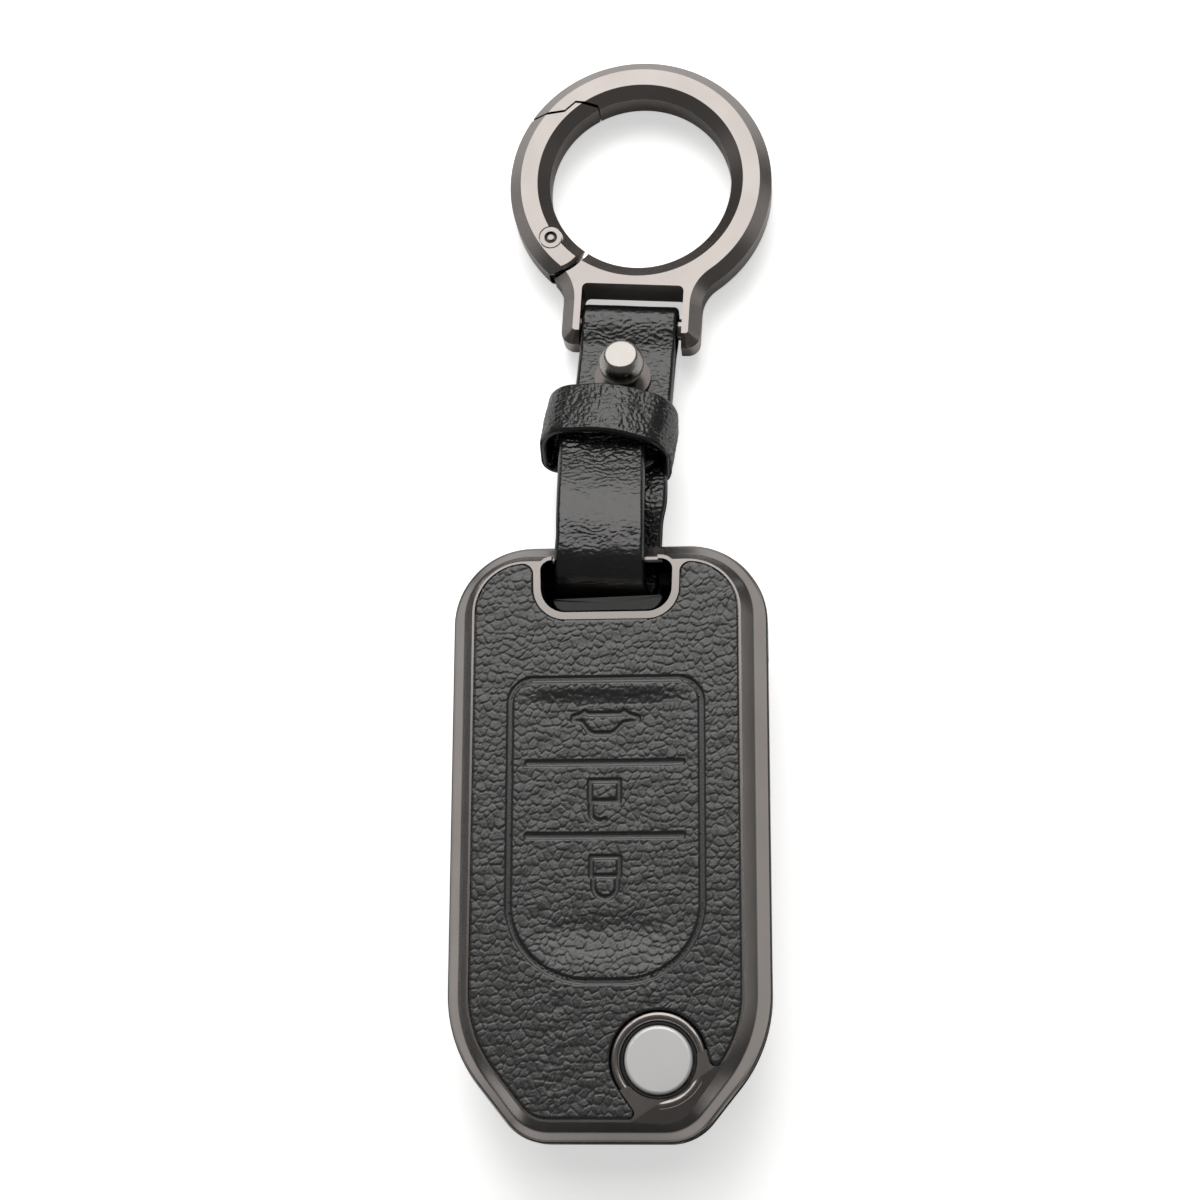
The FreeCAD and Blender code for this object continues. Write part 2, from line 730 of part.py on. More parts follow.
stud_screw = cylinder(screw_head_radius, screw_foot, -layers_outside, stud_middle)
stud_screw = stud_screw.fuse(cylinder(screw_radius, screw_foot, screw_end, stud_middle))
stud_screw = stud_screw.cut(block((stud_shift - screw_head_radius, stud_shift + screw_head_radius),
                                  (stud_place - screw_slot_width / 2, stud_place + screw_slot_width / 2),
                                  (screw_foot - overrun, screw_foot + screw_slot_depth))).removeSplitter()

# Keeper: a closed leather loop with a bowed front, round the three layers
keeper_floor = -layers_outside - keeper_below - keeper_thickness
keeper_corners = plan((-keeper_half_width, keeper_floor), (keeper_half_width, keeper_floor),
                      (keeper_half_width, keeper_side_height), (0, keeper_side_height + keeper_crown),
                      (-keeper_half_width, keeper_side_height))
keeper_radii = [keeper_corner_radius, keeper_corner_radius, keeper_corner_radius,
                keeper_crown_radius, keeper_corner_radius]
keeper_inner = [radius - keeper_thickness for radius in keeper_radii]
keeper_hole = inset_corners(keeper_corners, [keeper_thickness] * len(keeper_corners))
keeper = plate(keeper_corners, keeper_radii, 0, keeper_length)
keeper = keeper.cut(plate(keeper_hole, keeper_inner, -overrun, keeper_length + overrun))
keeper.rotate(ORIGIN, ACROSS, 90)
keeper.translate(Vector(keeper_shift, keeper_place + keeper_length / 2, 0))

# Spring ring: a bevelled ring with a yoke whose crossbar holds the strap's fold
ring_place = Vector(0, ring_reach, 0)
bevel_radius = ring_outer_radius - ring_outer_bevel_across
bevel_top = ring_thickness - ring_outer_bevel_along
ring_disc = turned([(0, 0), (bevel_radius, 0), (ring_outer_radius, ring_outer_bevel_along),
                    (ring_outer_radius, bevel_top), (bevel_radius, ring_thickness),
                    (0, ring_thickness)], ring_place)
hole_bevel = ring_hole_radius + ring_inner_bevel_across
hole_top = ring_thickness - ring_inner_bevel_along
hole_cut = turned([(0, 0), (hole_bevel, 0), (ring_hole_radius, ring_inner_bevel_along),
                   (ring_hole_radius, hole_top), (hole_bevel, ring_thickness),
                   (0, ring_thickness)], ring_place)
neck_across = yoke_half_width + yoke_neck_radius
neck_reach = ring_outer_radius + yoke_neck_radius
neck_drop = math.sqrt(neck_reach * neck_reach - neck_across * neck_across)
neck_middle = Vector(neck_across, ring_reach - neck_drop, 0)


def yoke_wire(inset, height):
    """The yoke's outline drawn in by a distance: two ears, each curving into the ring's own outline."""
    side = yoke_half_width - inset
    foot_line = inset - yoke_ear_length
    corner = max(yoke_ear_radius - inset, smallest_radius)
    neck_radius = yoke_neck_radius + inset
    to_ring = (ring_place - neck_middle).normalize()
    shoulder = neck_middle + to_ring * neck_radius
    bend = neck_middle + (to_ring - ACROSS).normalize() * neck_radius
    low = neck_middle - ACROSS * neck_radius
    slant = corner * (1 - math.sqrt(2) / 2)
    right = [shoulder, bend, low, Vector(side, foot_line + corner, 0),
             Vector(side - slant, foot_line + slant, 0), Vector(side - corner, foot_line, 0)]
    left = [Vector(-point.x, point.y, 0) for point in right]
    edges = [Part.Arc(*right[:3]), Part.LineSegment(*right[2:4]), Part.Arc(*right[3:]),
             Part.LineSegment(right[5], left[5]), Part.Arc(*left[:2:-1]), Part.LineSegment(left[3], left[2]),
             Part.Arc(*left[2::-1]), Part.LineSegment(left[0], right[0])]
    wire = Part.Wire([edge.toShape() for edge in edges])
    wire.translate(Vector(0, 0, height))
    return wire


yoke = Part.makeLoft([yoke_wire(ring_outer_bevel_across, 0), yoke_wire(0, ring_outer_bevel_along),
                      yoke_wire(0, bevel_top), yoke_wire(ring_outer_bevel_across, ring_thickness)],
                     True, True)
slot_corners = plan((-yoke_slot_half_width, -yoke_ear_length - overrun),
                    (yoke_slot_half_width, -yoke_ear_length - overrun),
                    (yoke_slot_half_width, yoke_slot_top), (-yoke_slot_half_width, yoke_slot_top))
yoke_slot = plate(slot_corners, [0, 0, yoke_slot_radius, yoke_slot_radius], -overrun,
                  ring_thickness + overrun)
bar_half_length = yoke_slot_half_width + crossbar_root
bar_end = Vector(-bar_half_length, 0, ring_middle)
crossbar = Part.makeCylinder(crossbar_radius, 2 * bar_half_length, bar_end, ACROSS)
whole_ring = ring_disc.fuse(yoke).cut(hole_cut).cut(yoke_slot).fuse(crossbar)


def on_ring(radius, angle):
    """A point in the ring's plane, at an angle from +X about the ring's middle."""
    turn = math.radians(angle)
    return ring_place + Vector(radius * math.cos(turn), radius * math.sin(turn), 0)


# Gate: an arc of the ring between its hooked nose and a round end about the pivot
pivot = on_ring(ring_hole_radius + pivot_depth, pivot_angle)
beyond = ring_outer_radius + overrun


def gate_zone(gap, round_end):
    """The gate's part of the plan with its round end, or with a gap the room that they need."""
    step = ring_hole_radius + nose_step_depth
    nose = [on_ring(ring_hole_radius + nose_inner_depth, nose_inner_angle), on_ring(step, nose_high_angle),
            on_ring(step, nose_low_angle), on_ring(ring_outer_radius, nose_outer_angle)]
    lifted = [point + Vector(0, gap, 0) for point in nose]
    corners = lifted + [on_ring(2 * beyond, (nose_outer_angle + pivot_angle) / 2),
                        on_ring(beyond, pivot_angle), ring_place]
    zone = plate(corners, [0] * len(corners), -overrun, ring_thickness + overrun)
    return zone.fuse(round_end)


end_room = cylinder(gate_end_radius + gate_end_gap, -overrun, ring_thickness + overrun, pivot)
bevelled_end = turned([(0, 0), (gate_end_radius - gate_end_bevel, 0), (gate_end_radius, gate_end_bevel),
                       (gate_end_radius, ring_thickness - gate_end_bevel),
                       (gate_end_radius - gate_end_bevel, ring_thickness), (0, ring_thickness)], pivot)
slot_low = (ring_thickness - hinge_slot_height) / 2
slot_high = slot_low + hinge_slot_height
tongue_low = slot_low + hinge_gap
tongue_high = tongue_low + tongue_plate
neck_angle = pivot_angle + 90
neck_way = Vector(math.cos(math.radians(neck_angle)), math.sin(math.radians(neck_angle)), 0)
neck_side = UPWARD.cross(neck_way)
neck_corners = [pivot - neck_side * tongue_neck_half_width,
                pivot - neck_side * tongue_neck_half_width + neck_way * tongue_neck_length,
                pivot + neck_side * tongue_neck_half_width + neck_way * tongue_neck_length,
                pivot + neck_side * tongue_neck_half_width]
hinge_tongue = plate(neck_corners, [0] * len(neck_corners), tongue_low, tongue_high)
hinge_tongue = hinge_tongue.common(ring_disc.cut(hole_cut))
hinge_tongue = hinge_tongue.fuse(cylinder(tongue_plate_radius, tongue_low, tongue_high, pivot))
ring_body = whole_ring.cut(gate_zone(nose_gap, end_room)).fuse(hinge_tongue)
ring_body = ring_body.cut(cylinder(pin_radius + pin_press_gap, 0, ring_thickness, pivot)).removeSplitter()

swept = [math.radians(neck_angle - gate_slot_margin), math.radians(neck_angle + gate_opening / 2),
         math.radians(neck_angle + gate_opening + gate_slot_margin)]
swept_corners = [pivot] + [pivot + Vector(math.cos(angle), math.sin(angle), 0) * (2 * gate_end_radius)
                           for angle in swept]
hinge_slot = plate(swept_corners, [0] * len(swept_corners), slot_low, slot_high)
hinge_slot = hinge_slot.fuse(cylinder(tongue_plate_radius + tongue_plate_gap, slot_low, slot_high, pivot))
head_seat = ring_thickness - pin_head_thickness
gate = whole_ring.common(gate_zone(0, bevelled_end)).cut(hinge_slot)
gate = gate.cut(cylinder(pin_radius + pin_running_gap, 0, ring_thickness, pivot))
gate = gate.cut(cylinder(pin_head_radius + pin_head_gap, head_seat - pin_head_gap,
                         ring_thickness + overrun, pivot))

# Gate pin with a recessed head, and the torsion spring round it
recess_floor = ring_thickness - pin_recess_depth
gate_pin = turned([(0, pin_foot_gap), (pin_radius, pin_foot_gap), (pin_radius, head_seat),
                   (pin_head_radius, head_seat), (pin_head_radius, ring_thickness),
                   (pin_recess_radius, ring_thickness),
                   (pin_recess_radius, recess_floor), (pin_pip_radius, recess_floor),
                   (pin_pip_radius, ring_thickness), (0, ring_thickness)], pivot)


def tangent_arc(start, direction, end):
    """The arc that leaves start in a direction and reaches end."""
    chord = end - start
    along = Vector(chord).normalize()
    aside = direction - along * direction.dot(along)
    lift = chord.Length / 2 * math.tan(direction.getAngle(chord) / 2)
    return Part.Arc(start, (start + end) / 2 + aside.normalize() * lift, end).toShape()


def coil_point(quarter):
    """A point of the coil after some quarter turns, and the way that the wire runs there."""
    angle = math.radians(neck_angle - 90 + 90 * quarter)
    outward = Vector(math.cos(angle), math.sin(angle), 0)
    base = tongue_high + spring_lift
    point = pivot + outward * spring_coil_radius + UPWARD * (base + spring_pitch * quarter / 4)
    quarter_arc = spring_coil_radius * math.pi / 2
    way = UPWARD.cross(outward) * quarter_arc + UPWARD * (spring_pitch / 4)
    return point, way.normalize()


def coil_arcs():
    """Each quarter turn as two arcs that share a tangent."""
    arcs = []
    for quarter in range(spring_quarter_turns):
        start, leaving = coil_point(quarter)
        end, arriving = coil_point(quarter + 1)
        chord = end - start
        both = leaving + arriving
        twist = 2 * (1 - leaving.dot(arriving))
        lean = chord.dot(both)
        reach = (math.sqrt(lean * lean + twist * chord.dot(chord)) - lean) / twist
        meeting = (start + leaving * reach + end - arriving * reach) / 2
        arcs.append(tangent_arc(start, leaving, meeting))
        turned_arc = tangent_arc(end, arriving * -1, meeting)
        arcs.append(turned_arc)
    return arcs


coil_start, start_way = coil_point(0)
coil_end, end_way = coil_point(spring_quarter_turns)
gate_leg_end = coil_start - start_way * spring_gate_leg
fixed_leg_end = coil_end + end_way * spring_fixed_leg
spring_path = [Part.LineSegment(gate_leg_end, coil_start).toShape()] + coil_arcs()
spring_path.append(Part.LineSegment(coil_end, fixed_leg_end).toShape())
wire_section = Part.Wire(Part.Circle(gate_leg_end, start_way, spring_wire_radius).toShape())
gate_spring = Part.Wire(Part.__sortEdges__(spring_path)).makePipeShell([wire_section], True, False)

# Strap and ring lie askew: the strap slopes down from the case's bar to the ring, which lies flat
lean = FreeCAD.Rotation(UPWARD, -strap_lean)
slope = FreeCAD.Rotation(ACROSS, -strap_slope)
strap_origin = Vector(0, bar_middle_y, parting + bar_middle_height)
strap_seat = FreeCAD.Placement(strap_origin, lean.multiply(slope))
ring_seat = FreeCAD.Placement(Vector(0, bar_middle_y, 0) + lean.multVec(Vector(0, strap_fall, 0)), lean)


def seated(piece, seat):
    placed = piece.copy()
    placed.transformShape(seat.toMatrix())
    return placed


nodes = {
    "front_frame": in_front(front_frame),
    "front_leather": in_front(front_leather),
    "front_liner": in_front(front_liner),
    "release_button": in_front(release_button),
    "release_pad": in_front(release_pad),
    "back_frame": behind(back_frame),
    "back_leather": behind(back_leather),
    "back_liner": behind(back_liner),
}
for name, piece in key_pieces.items():
    nodes[name] = in_front(piece)
for name, piece in (("strap", strap), ("keeper", keeper), ("stud_ball", stud_ball),
                    ("stud_screw", stud_screw)):
    nodes[name] = seated(piece, strap_seat)
for name, piece in (("ring_body", ring_body), ("gate", gate), ("gate_pin", gate_pin),
                    ("gate_spring", gate_spring)):
    nodes[name] = seated(piece, ring_seat)

os.makedirs("parts", exist_ok=True)
for name, piece in nodes.items():
    solids = piece.Solids
    print(name, "solids", len(solids), "volume %.2f" % piece.Volume, "valid", piece.isValid())
    shape = solids[0] if len(solids) == 1 else Part.makeCompound(solids)
    shape.exportStep("parts/" + name + ".step")
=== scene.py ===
"""Looks of the key fob cover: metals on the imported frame, leather, strap and keeper as new surfaces.

Sizes are in millimetres, in the frame's own axes, and become metres when a mesh is made.
"""
import math

import bpy
import numpy as np
from mathutils import Matrix, Vector


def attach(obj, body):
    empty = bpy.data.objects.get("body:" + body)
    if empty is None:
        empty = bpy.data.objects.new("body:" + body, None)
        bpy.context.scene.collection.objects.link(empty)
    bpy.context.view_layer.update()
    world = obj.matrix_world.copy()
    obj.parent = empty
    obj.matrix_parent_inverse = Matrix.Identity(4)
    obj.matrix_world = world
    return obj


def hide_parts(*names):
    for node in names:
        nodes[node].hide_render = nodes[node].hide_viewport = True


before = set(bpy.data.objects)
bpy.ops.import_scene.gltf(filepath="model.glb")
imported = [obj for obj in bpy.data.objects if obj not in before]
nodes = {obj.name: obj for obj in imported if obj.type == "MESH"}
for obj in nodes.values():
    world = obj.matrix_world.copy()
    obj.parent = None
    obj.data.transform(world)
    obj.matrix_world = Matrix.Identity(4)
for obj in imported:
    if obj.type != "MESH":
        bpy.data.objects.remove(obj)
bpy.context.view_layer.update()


# Case frames
# Two die-cast halves in satin gunmetal that snap together, the front one with the window's rim, the strap
# bar and the ring round the release button. The metal is finely brushed, so its gloss is streaked.

class Socket:
    """An output of a shader node; sums with numbers or other sockets add Math nodes to the same tree."""

    def __init__(self, tree, output):
        self.tree = tree
        self.output = output

    def node(self, kind, feeds=None, result=0, **settings):
        """Adds a shader node of any kind, sets its properties and inputs, and wraps one of its outputs."""
        made = self.tree.nodes.new("ShaderNode" + kind)
        for name, value in settings.items():
            setattr(made, name, value)
        for name, value in (feeds or {}).items():
            connect(made.inputs[name], value)
        return Socket(self.tree, made.outputs[result])

    def math(self, operation, first, second):
        """One Math node on two values."""
        return self.node("Math", {0: first, 1: second}, operation=operation)

    def __add__(self, other):
        return self.math("ADD", self, other)

    def __sub__(self, other):
        return self.math("SUBTRACT", self, other)

    def __mul__(self, other):
        return self.math("MULTIPLY", self, other)

    def __truediv__(self, other):
        return self.math("DIVIDE", self, other)

    def __radd__(self, other):
        return self.math("ADD", other, self)

    def __rsub__(self, other):
        return self.math("SUBTRACT", other, self)

    def __rmul__(self, other):
        return self.math("MULTIPLY", other, self)

    def __rtruediv__(self, other):
        return self.math("DIVIDE", other, self)

    def mapped(self, low, high, new_low, new_high):
        """The value carried smoothly from one range to another."""
        feeds = {"From Min": low, "From Max": high, "To Min": new_low, "To Max": new_high, "Value": self}
        return self.node("MapRange", feeds, interpolation_type="SMOOTHSTEP")

    def stretched(self, across, along, up):
        """Coordinates scaled along each axis."""
        return self.node("Mapping", {"Vector": self, "Scale": (across, along, up)})

    def noise(self, scale, detail=2.0, roughness=0.5):
        """Cloudy noise at the coordinates, about 0.3 to 0.7."""
        return self.node("TexNoise", {"Vector": self, "Scale": scale, "Detail": detail,
                                      "Roughness": roughness})

    def mixed(self, first, second):
        """One colour at 0 and another at 1."""
        return self.node("MixRGB", {"Fac": self, "Color1": first, "Color2": second})

    def part(self, axis):
        """One of a vector's three values."""
        return self.node("SeparateXYZ", {"Vector": self}, result=axis)

    def absolute(self):
        """The value without its sign."""
        return self.math("ABSOLUTE", self, 0.0)

    def at_least(self, other):
        """The larger of two values."""
        return self.math("MAXIMUM", self, other)


def connect(target, value):
    """Links a wrapped output to an input, or sets the input to a plain value."""
    if isinstance(value, Socket):
        value.tree.links.new(value.output, target)
    else:
        target.default_value = value


def new_material(name, constants):
    """A material with one shader node: the material, the shader and the object's coordinates in mm."""
    material = bpy.data.materials.new(name)
    material.use_nodes = True
    tree = material.node_tree
    shader = tree.nodes["Principled BSDF"]
    for input_name, value in constants.items():
        shader.inputs[input_name].default_value = value
    place = tree.nodes.new("ShaderNodeTexCoord")
    return material, shader, Socket(tree, place.outputs["Object"]).stretched(1000, 1000, 1000)


def bumped(place, height, strength, distance):
    """A normal tilted by the slope of a height, whose full range stands for a distance in metres."""
    return place.node("Bump", {"Height": height, "Strength": strength, "Distance": distance})


def metal(name, colour, dark, roughness, grain, metallic=1.0):
    """Satin metal: faint streaks along Y in the gloss and the bump, broad clouds in the colour."""
    material, shader, place = new_material(name, {"Metallic": metallic})
    streaks = place.stretched(5.0, 0.25, 5.0).noise(1.0, 2.0, 0.5)
    clouds = place.noise(0.11, 2.0)
    connect(shader.inputs["Base Color"], clouds.mapped(0.3, 0.7, 0.0, 1.0).mixed(dark, colour))
    connect(shader.inputs["Roughness"], streaks * grain + (roughness - grain / 2))
    connect(shader.inputs["Normal"], bumped(place, streaks, 0.04, 0.00001))
    return material


def dress(name, material):
    """Gives a CAD node its material."""
    piece = nodes[name]
    piece.data.materials.clear()
    piece.data.materials.append(material)
    return piece


gunmetal_light, gunmetal_dark = (0.37, 0.342, 0.326, 1), (0.34, 0.315, 0.30, 1)
gunmetal = metal("gunmetal", gunmetal_light, gunmetal_dark, 0.22, 0.05)
for name in ("front_frame", "back_frame"):
    dress(name, gunmetal)


# Liners, plungers and pad
# Black soft plastic, moulded to fill both halves round the key's pocket and glued in; it shows in the window
# and the slots. The plungers of the soft keys and the pad under the release button are moulded from it too.

def grey(value):
    """A colour with one value for red, green and blue."""
    return (value, value, value, 1)


def soft_plastic(name, colour, polished, dull):
    """Plain plastic with a fine grain in its gloss and its bump."""
    material, shader, place = new_material(name, {"Base Color": colour})
    grain = place.noise(3.0, 3.0)
    connect(shader.inputs["Roughness"], grain.mapped(0.3, 0.7, polished, dull))
    connect(shader.inputs["Normal"], bumped(place, grain, 0.2, 0.00004))
    return material


liner = soft_plastic("liner", grey(0.012), 0.42, 0.6)
for name in ("front_liner", "back_liner", "release_pad", "trunk_key_plunger", "unlock_key_plunger",
             "lock_key_plunger"):
    dress(name, liner)


# Window lips
# Narrow flats of the front frame at the window's upper corners, cast in one with it, where the window's rim
# runs out over the strap bar. They end beside the strap, which swings between them.

def new_piece(name, places, face_sets, shares=None):
    """A smooth mesh from places in mm and arrays of faces, with named values on its points."""
    mesh = bpy.data.meshes.new(name)
    used = np.unique(np.concatenate([faces.ravel() for faces in face_sets]))
    renumber = np.full(len(places), -1)
    renumber[used] = np.arange(len(used))
    mesh.from_pydata((places[used] / 1000).tolist(), [],
                     [face for faces in face_sets for face in renumber[faces].tolist()])
    for share_name, values in (shares or {}).items():
        layer = mesh.attributes.new(share_name, "FLOAT", "POINT")
        layer.data.foreach_set("value", np.asarray(values, np.float32)[used])
    mesh.polygons.foreach_set("use_smooth", np.ones(len(mesh.polygons), bool))
    mesh.update()
    piece = bpy.data.objects.new(name, mesh)
    bpy.context.scene.collection.objects.link(piece)
    return piece


def swept(name, sections, closed=True):
    """A tube of closed sections, given as rows of points and joined in turn. It is closed from last to first,
    or its first and last sections are its ends."""
    rows, columns = sections.shape[:2]
    number = np.arange(rows * columns).reshape(rows, columns)
    ahead = np.roll(number, -1, 0)
    faces = np.stack([number, ahead, np.roll(ahead, -1, 1), np.roll(number, -1, 1)], -1)
    if closed:
        return new_piece(name, sections.reshape(-1, 3), [faces.reshape(-1, 4)])
    ends = [number[:1], number[-1:, ::-1]]
    return new_piece(name, sections.reshape(-1, 3), [faces[:-1].reshape(-1, 4)] + ends)


def faceted(piece):
    """Shows every face of a piece as flat."""
    piece.data.polygons.foreach_set("use_smooth", np.zeros(len(piece.data.polygons), bool))


lip_height, lip_width, lip_depth, lip_clear = 20.21, 0.5, 0.8, 0.02
corner_radius, corner_x, corner_y = 1.6, 7.15, 33.9
lip_drop = np.array([0, 0, lip_depth])
spokes = np.radians(np.arange(0, 91, 6))
bend = np.concatenate([np.column_stack([np.cos(spokes), np.sin(spokes)]), [(0.0, 1.0)]])
for side, lip_end, name in ((1, 6.75, "right_window_lip"), (-1, 7.22, "left_window_lip")):
    middles = np.full(bend.shape, (corner_x, corner_y))
    middles[-1, 0] = lip_end
    levels = np.full(len(bend), lip_height)
    inner = np.column_stack([middles + bend * (corner_radius + lip_clear), levels])
    outer = np.column_stack([middles + bend * (corner_radius + lip_width), levels])
    sections = np.stack([inner - lip_drop, inner, outer, outer - lip_drop], 1) * (side, 1, 1)
    lip = swept(name, sections[::side], closed=False)
    faceted(lip)
    lip.data.materials.append(gunmetal)
    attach(lip, "case")


# Mouth shade blocks and window ledge
# Two near-black blocks on the back liner, on each side of the strap where it leaves the case, close the view
# through the strap's mouth and
# stand for the shade inside it: painted shade. A ledge moulded on the front liner crosses the window's lower
# end.

def rounded_loop(corners, radii, steps, count=10):
    """A closed line round corners, each with an arc of its own radius, as evenly spaced points. An arc's
    middle lies on the line that halves its corner, and its spokes turn with the line from side to side."""
    corners = np.array(corners, float)
    arcs = []
    for i, corner in enumerate(corners):
        arriving = corner - corners[i - 1]
        leaving = corners[(i + 1) % len(corners)] - corner
        arriving /= np.hypot(*arriving)
        leaving /= np.hypot(*leaving)
        half = math.acos(np.clip(arriving @ leaving, -1, 1)) / 2
        hand = np.sign(arriving[0] * leaving[1] - arriving[1] * leaving[0])
        inward = (leaving - arriving) / np.hypot(*(leaving - arriving))
        middle = corner + inward * radii[i] / math.cos(half)
        angles = np.linspace(-half, half, count)[:, None] * hand
        spokes = -inward * np.cos(angles) + np.array([inward[1], -inward[0]]) * np.sin(angles)
        arcs.append(middle + radii[i] * spokes)
    closed = np.concatenate(arcs + [arcs[0][:1]])
    lengths = np.concatenate([[0], np.cumsum(np.hypot(*np.diff(closed, axis=0).T))])
    even = np.linspace(0, lengths[-1], steps + 1)[:-1]
    return np.column_stack([np.interp(even, lengths, closed[:, 0]), np.interp(even, lengths, closed[:, 1])])


# Near-black blocks that stand for the shade inside the strap's mouth: painted shade.
mouth_shade_black = soft_plastic("mouth_shade_black", grey(0.004), 0.8, 0.95)
pad_outer, pad_round = 8.6, 0.15
bar_middle, strap_turn = 37.45, 0.0612
pad_profile = rounded_loop([(33.3, 3.08), (36.9, 3.08), (38.8, 6.8), (38.8, 10.0), (35.3, 10.0), (35.3, 14.5),
                            (33.3, 14.5)], [0.4, 0.4, 0.4, 0.4, 0.2, 0.4, 0.4], 120)
pad_heart = np.array([34.3, 6.5])
pad_shares = np.array([0.02, 0.97, 1.0, 1.0, 0.97, 0.02])[:, None, None]
pad_plane = pad_heart + pad_shares * (pad_profile - pad_heart)
for near_face, side, name in ((-7.13, -1, "left_mouth_shade_block"), (6.85, 1, "right_mouth_shade_block")):
    across = near_face + strap_turn * (pad_plane[..., 0] - bar_middle)
    across[2] += side * pad_round
    across[3:] = side * pad_outer
    across[3] -= side * pad_round
    mouth_shade_block = swept(name, np.concatenate([across[..., None], pad_plane], 2)[::side])
    mouth_shade_block.data.materials.append(mouth_shade_black)
    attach(mouth_shade_block, "back_cover")

ledge_corners = [(-7.3, 29.42), (7.22, 29.48), (7.22, 31.45), (-7.3, 31.02)]
ledge_top, ledge_bottom, ledge_chamfer = 16.8, 13.8, 0.1
foot_top, foot_length, foot_half, foot_fade, foot_edge = 15.4, 1.2, 5.2, 0.5, 29.8
ledge_plan = rounded_loop(ledge_corners, [1.55, 1.9, 0.25, 0.25], 160)
ledge_heart = ledge_plan.mean(0)
foot_reach = foot_length * np.clip((foot_half - abs(ledge_plan[:, 0])) / foot_fade, 0, 1)
ledge_foot = ledge_plan.copy()
ledge_foot[:, 1] -= np.where(ledge_plan[:, 1] < foot_edge, foot_reach, 0)


def drawn_in(share):
    """The ledge's outline, shrunk towards its middle."""
    return ledge_heart + share * (ledge_plan - ledge_heart)


ledge_rings = [(drawn_in(0.02), ledge_top), (drawn_in(0.96), ledge_top), (drawn_in(0.98), ledge_top),
               (ledge_plan, ledge_top - ledge_chamfer), (ledge_plan, foot_top + ledge_chamfer),
               (ledge_foot, foot_top), (ledge_foot, ledge_bottom), (drawn_in(0.02), ledge_bottom)]
ledge = swept("window_ledge", np.stack([np.column_stack([ring, np.full(len(ring), level)])
                                        for ring, level in ledge_rings])[::-1])
faceted(ledge)
ledge.data.materials.append(soft_plastic("ledge_plastic", (0.014, 0.015, 0.014, 1), 0.34, 0.46))
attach(ledge, "case")


# Release button
# A pale satin cap in the corner, turned from one piece, which slides in the frame's bore; a black sleeve in
# the bore round it stands for the shade in the gap, painted shade.
# The soft pad behind it isn't seen.

silver = metal("silver", grey(0.78), grey(0.75), 0.42, 0.05, 0.5)
dress("release_button", silver)

release_place = np.array([6.75, -29.2])
sleeve_inner, sleeve_outer, sleeve_low, sleeve_high, sleeve_chamfer = 4.38, 4.81, 18.7, 19.72, 0.1
round_turn = np.radians(np.arange(0, 360, 3.0))
sleeve_profile = [(sleeve_inner, sleeve_low), (sleeve_outer, sleeve_low), (sleeve_outer, sleeve_high),
                  (sleeve_inner + sleeve_chamfer, sleeve_high), (sleeve_inner, sleeve_high - sleeve_chamfer)]
sleeve_rings = [np.column_stack([release_place[0] + radius * np.cos(round_turn),
                                 release_place[1] + radius * np.sin(round_turn),
                                 np.full(len(round_turn), level)]) for radius, level in sleeve_profile]
# The black sleeve round the cap stands for the shade in the gap: painted shade.
gap_shade = swept("release_gap_shade", np.stack(sleeve_rings))
gap_shade.data.materials.append(liner)
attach(gap_shade, "case")


# Leather faces
# Pebbled leather, skived thin and glued to the liners: one panel in each half, and in front a dished field
# with three soft keys. Grooves, symbols and pebbles are pressed into the surface itself.

def outline(node, height):
    """The edges round a CAD node's flat face at a height, as (start, end) pairs in the plan: those that only
    one of its triangles has."""
    mesh = nodes[node].data
    places = np.empty(len(mesh.vertices) * 3)
    mesh.vertices.foreach_get("co", places)
    places = np.round(places.reshape(-1, 3) * 1000, 4)
    corners = np.empty(len(mesh.polygons) * 3, int)
    mesh.polygons.foreach_get("vertices", corners)
    triangles = places[corners.reshape(-1, 3)]
    flat = triangles[np.all(abs(triangles[:, :, 2] - height) < 0.01, axis=1)][:, :, :2]
    sides = np.concatenate([flat[:, [0, 1]], flat[:, [1, 2]], flat[:, [2, 0]]])
    rightward = sides[:, 0, 0] - sides[:, 1, 0]
    backward = (rightward > 0) | ((rightward == 0) & (sides[:, 0, 1] > sides[:, 1, 1]))
    ordered = np.where(backward[:, None, None], sides[:, ::-1], sides)
    kinds, counts = np.unique(ordered.reshape(-1, 4), axis=0, return_counts=True)
    return kinds[counts == 1].reshape(-1, 2, 2)


def nearest(points, edges):
    """For each point, the nearest place on the edges and the distance to it, positive inside the outline,
    where a ray to the right crosses an odd number of edges."""
    best = np.full(len(points), np.inf)
    place = np.zeros_like(points)
    inside = np.zeros(len(points), bool)
    for start, end in edges:
        along = end - start
        share = np.clip((points - start) @ along / max(along @ along, 1e-12), 0, 1)
        foot = start + share[:, None] * along
        gap = np.hypot(*(points - foot).T)
        closer = gap < best
        best[closer] = gap[closer]
        place[closer] = foot[closer]
        if start[1] != end[1]:
            crossed = (start[1] > points[:, 1]) != (end[1] > points[:, 1])
            level = start[0] + (points[:, 1] - start[1]) / (end[1] - start[1]) * along[0]
            inside ^= crossed & (points[:, 0] < level)
    return place, np.where(inside, best, -best)


def smooth(value):
    """0 below 0, 1 above 1, and a gentle S between."""
    share = np.clip(value, 0, 1)
    return share * share * (3 - 2 * share)


def stroke_distance(x, y, points):
    """Distance to a line through points."""
    best = np.full(x.shape, np.inf)
    for (x0, y0), (x1, y1) in zip(points[:-1], points[1:]):
        run, rise = x1 - x0, y1 - y0
        share = np.clip(((x - x0) * run + (y - y0) * rise) / (run * run + rise * rise), 0, 1)
        best = np.minimum(best, np.hypot(x - x0 - share * run, y - y0 - share * rise))
    return best


def bow(middle, radius, first, last, count=9):
    """Points along an arc, in degrees."""
    turn = np.radians(np.linspace(first, last, count))
    return list(zip(middle[0] + radius * np.cos(turn), middle[1] + radius * np.sin(turn)))


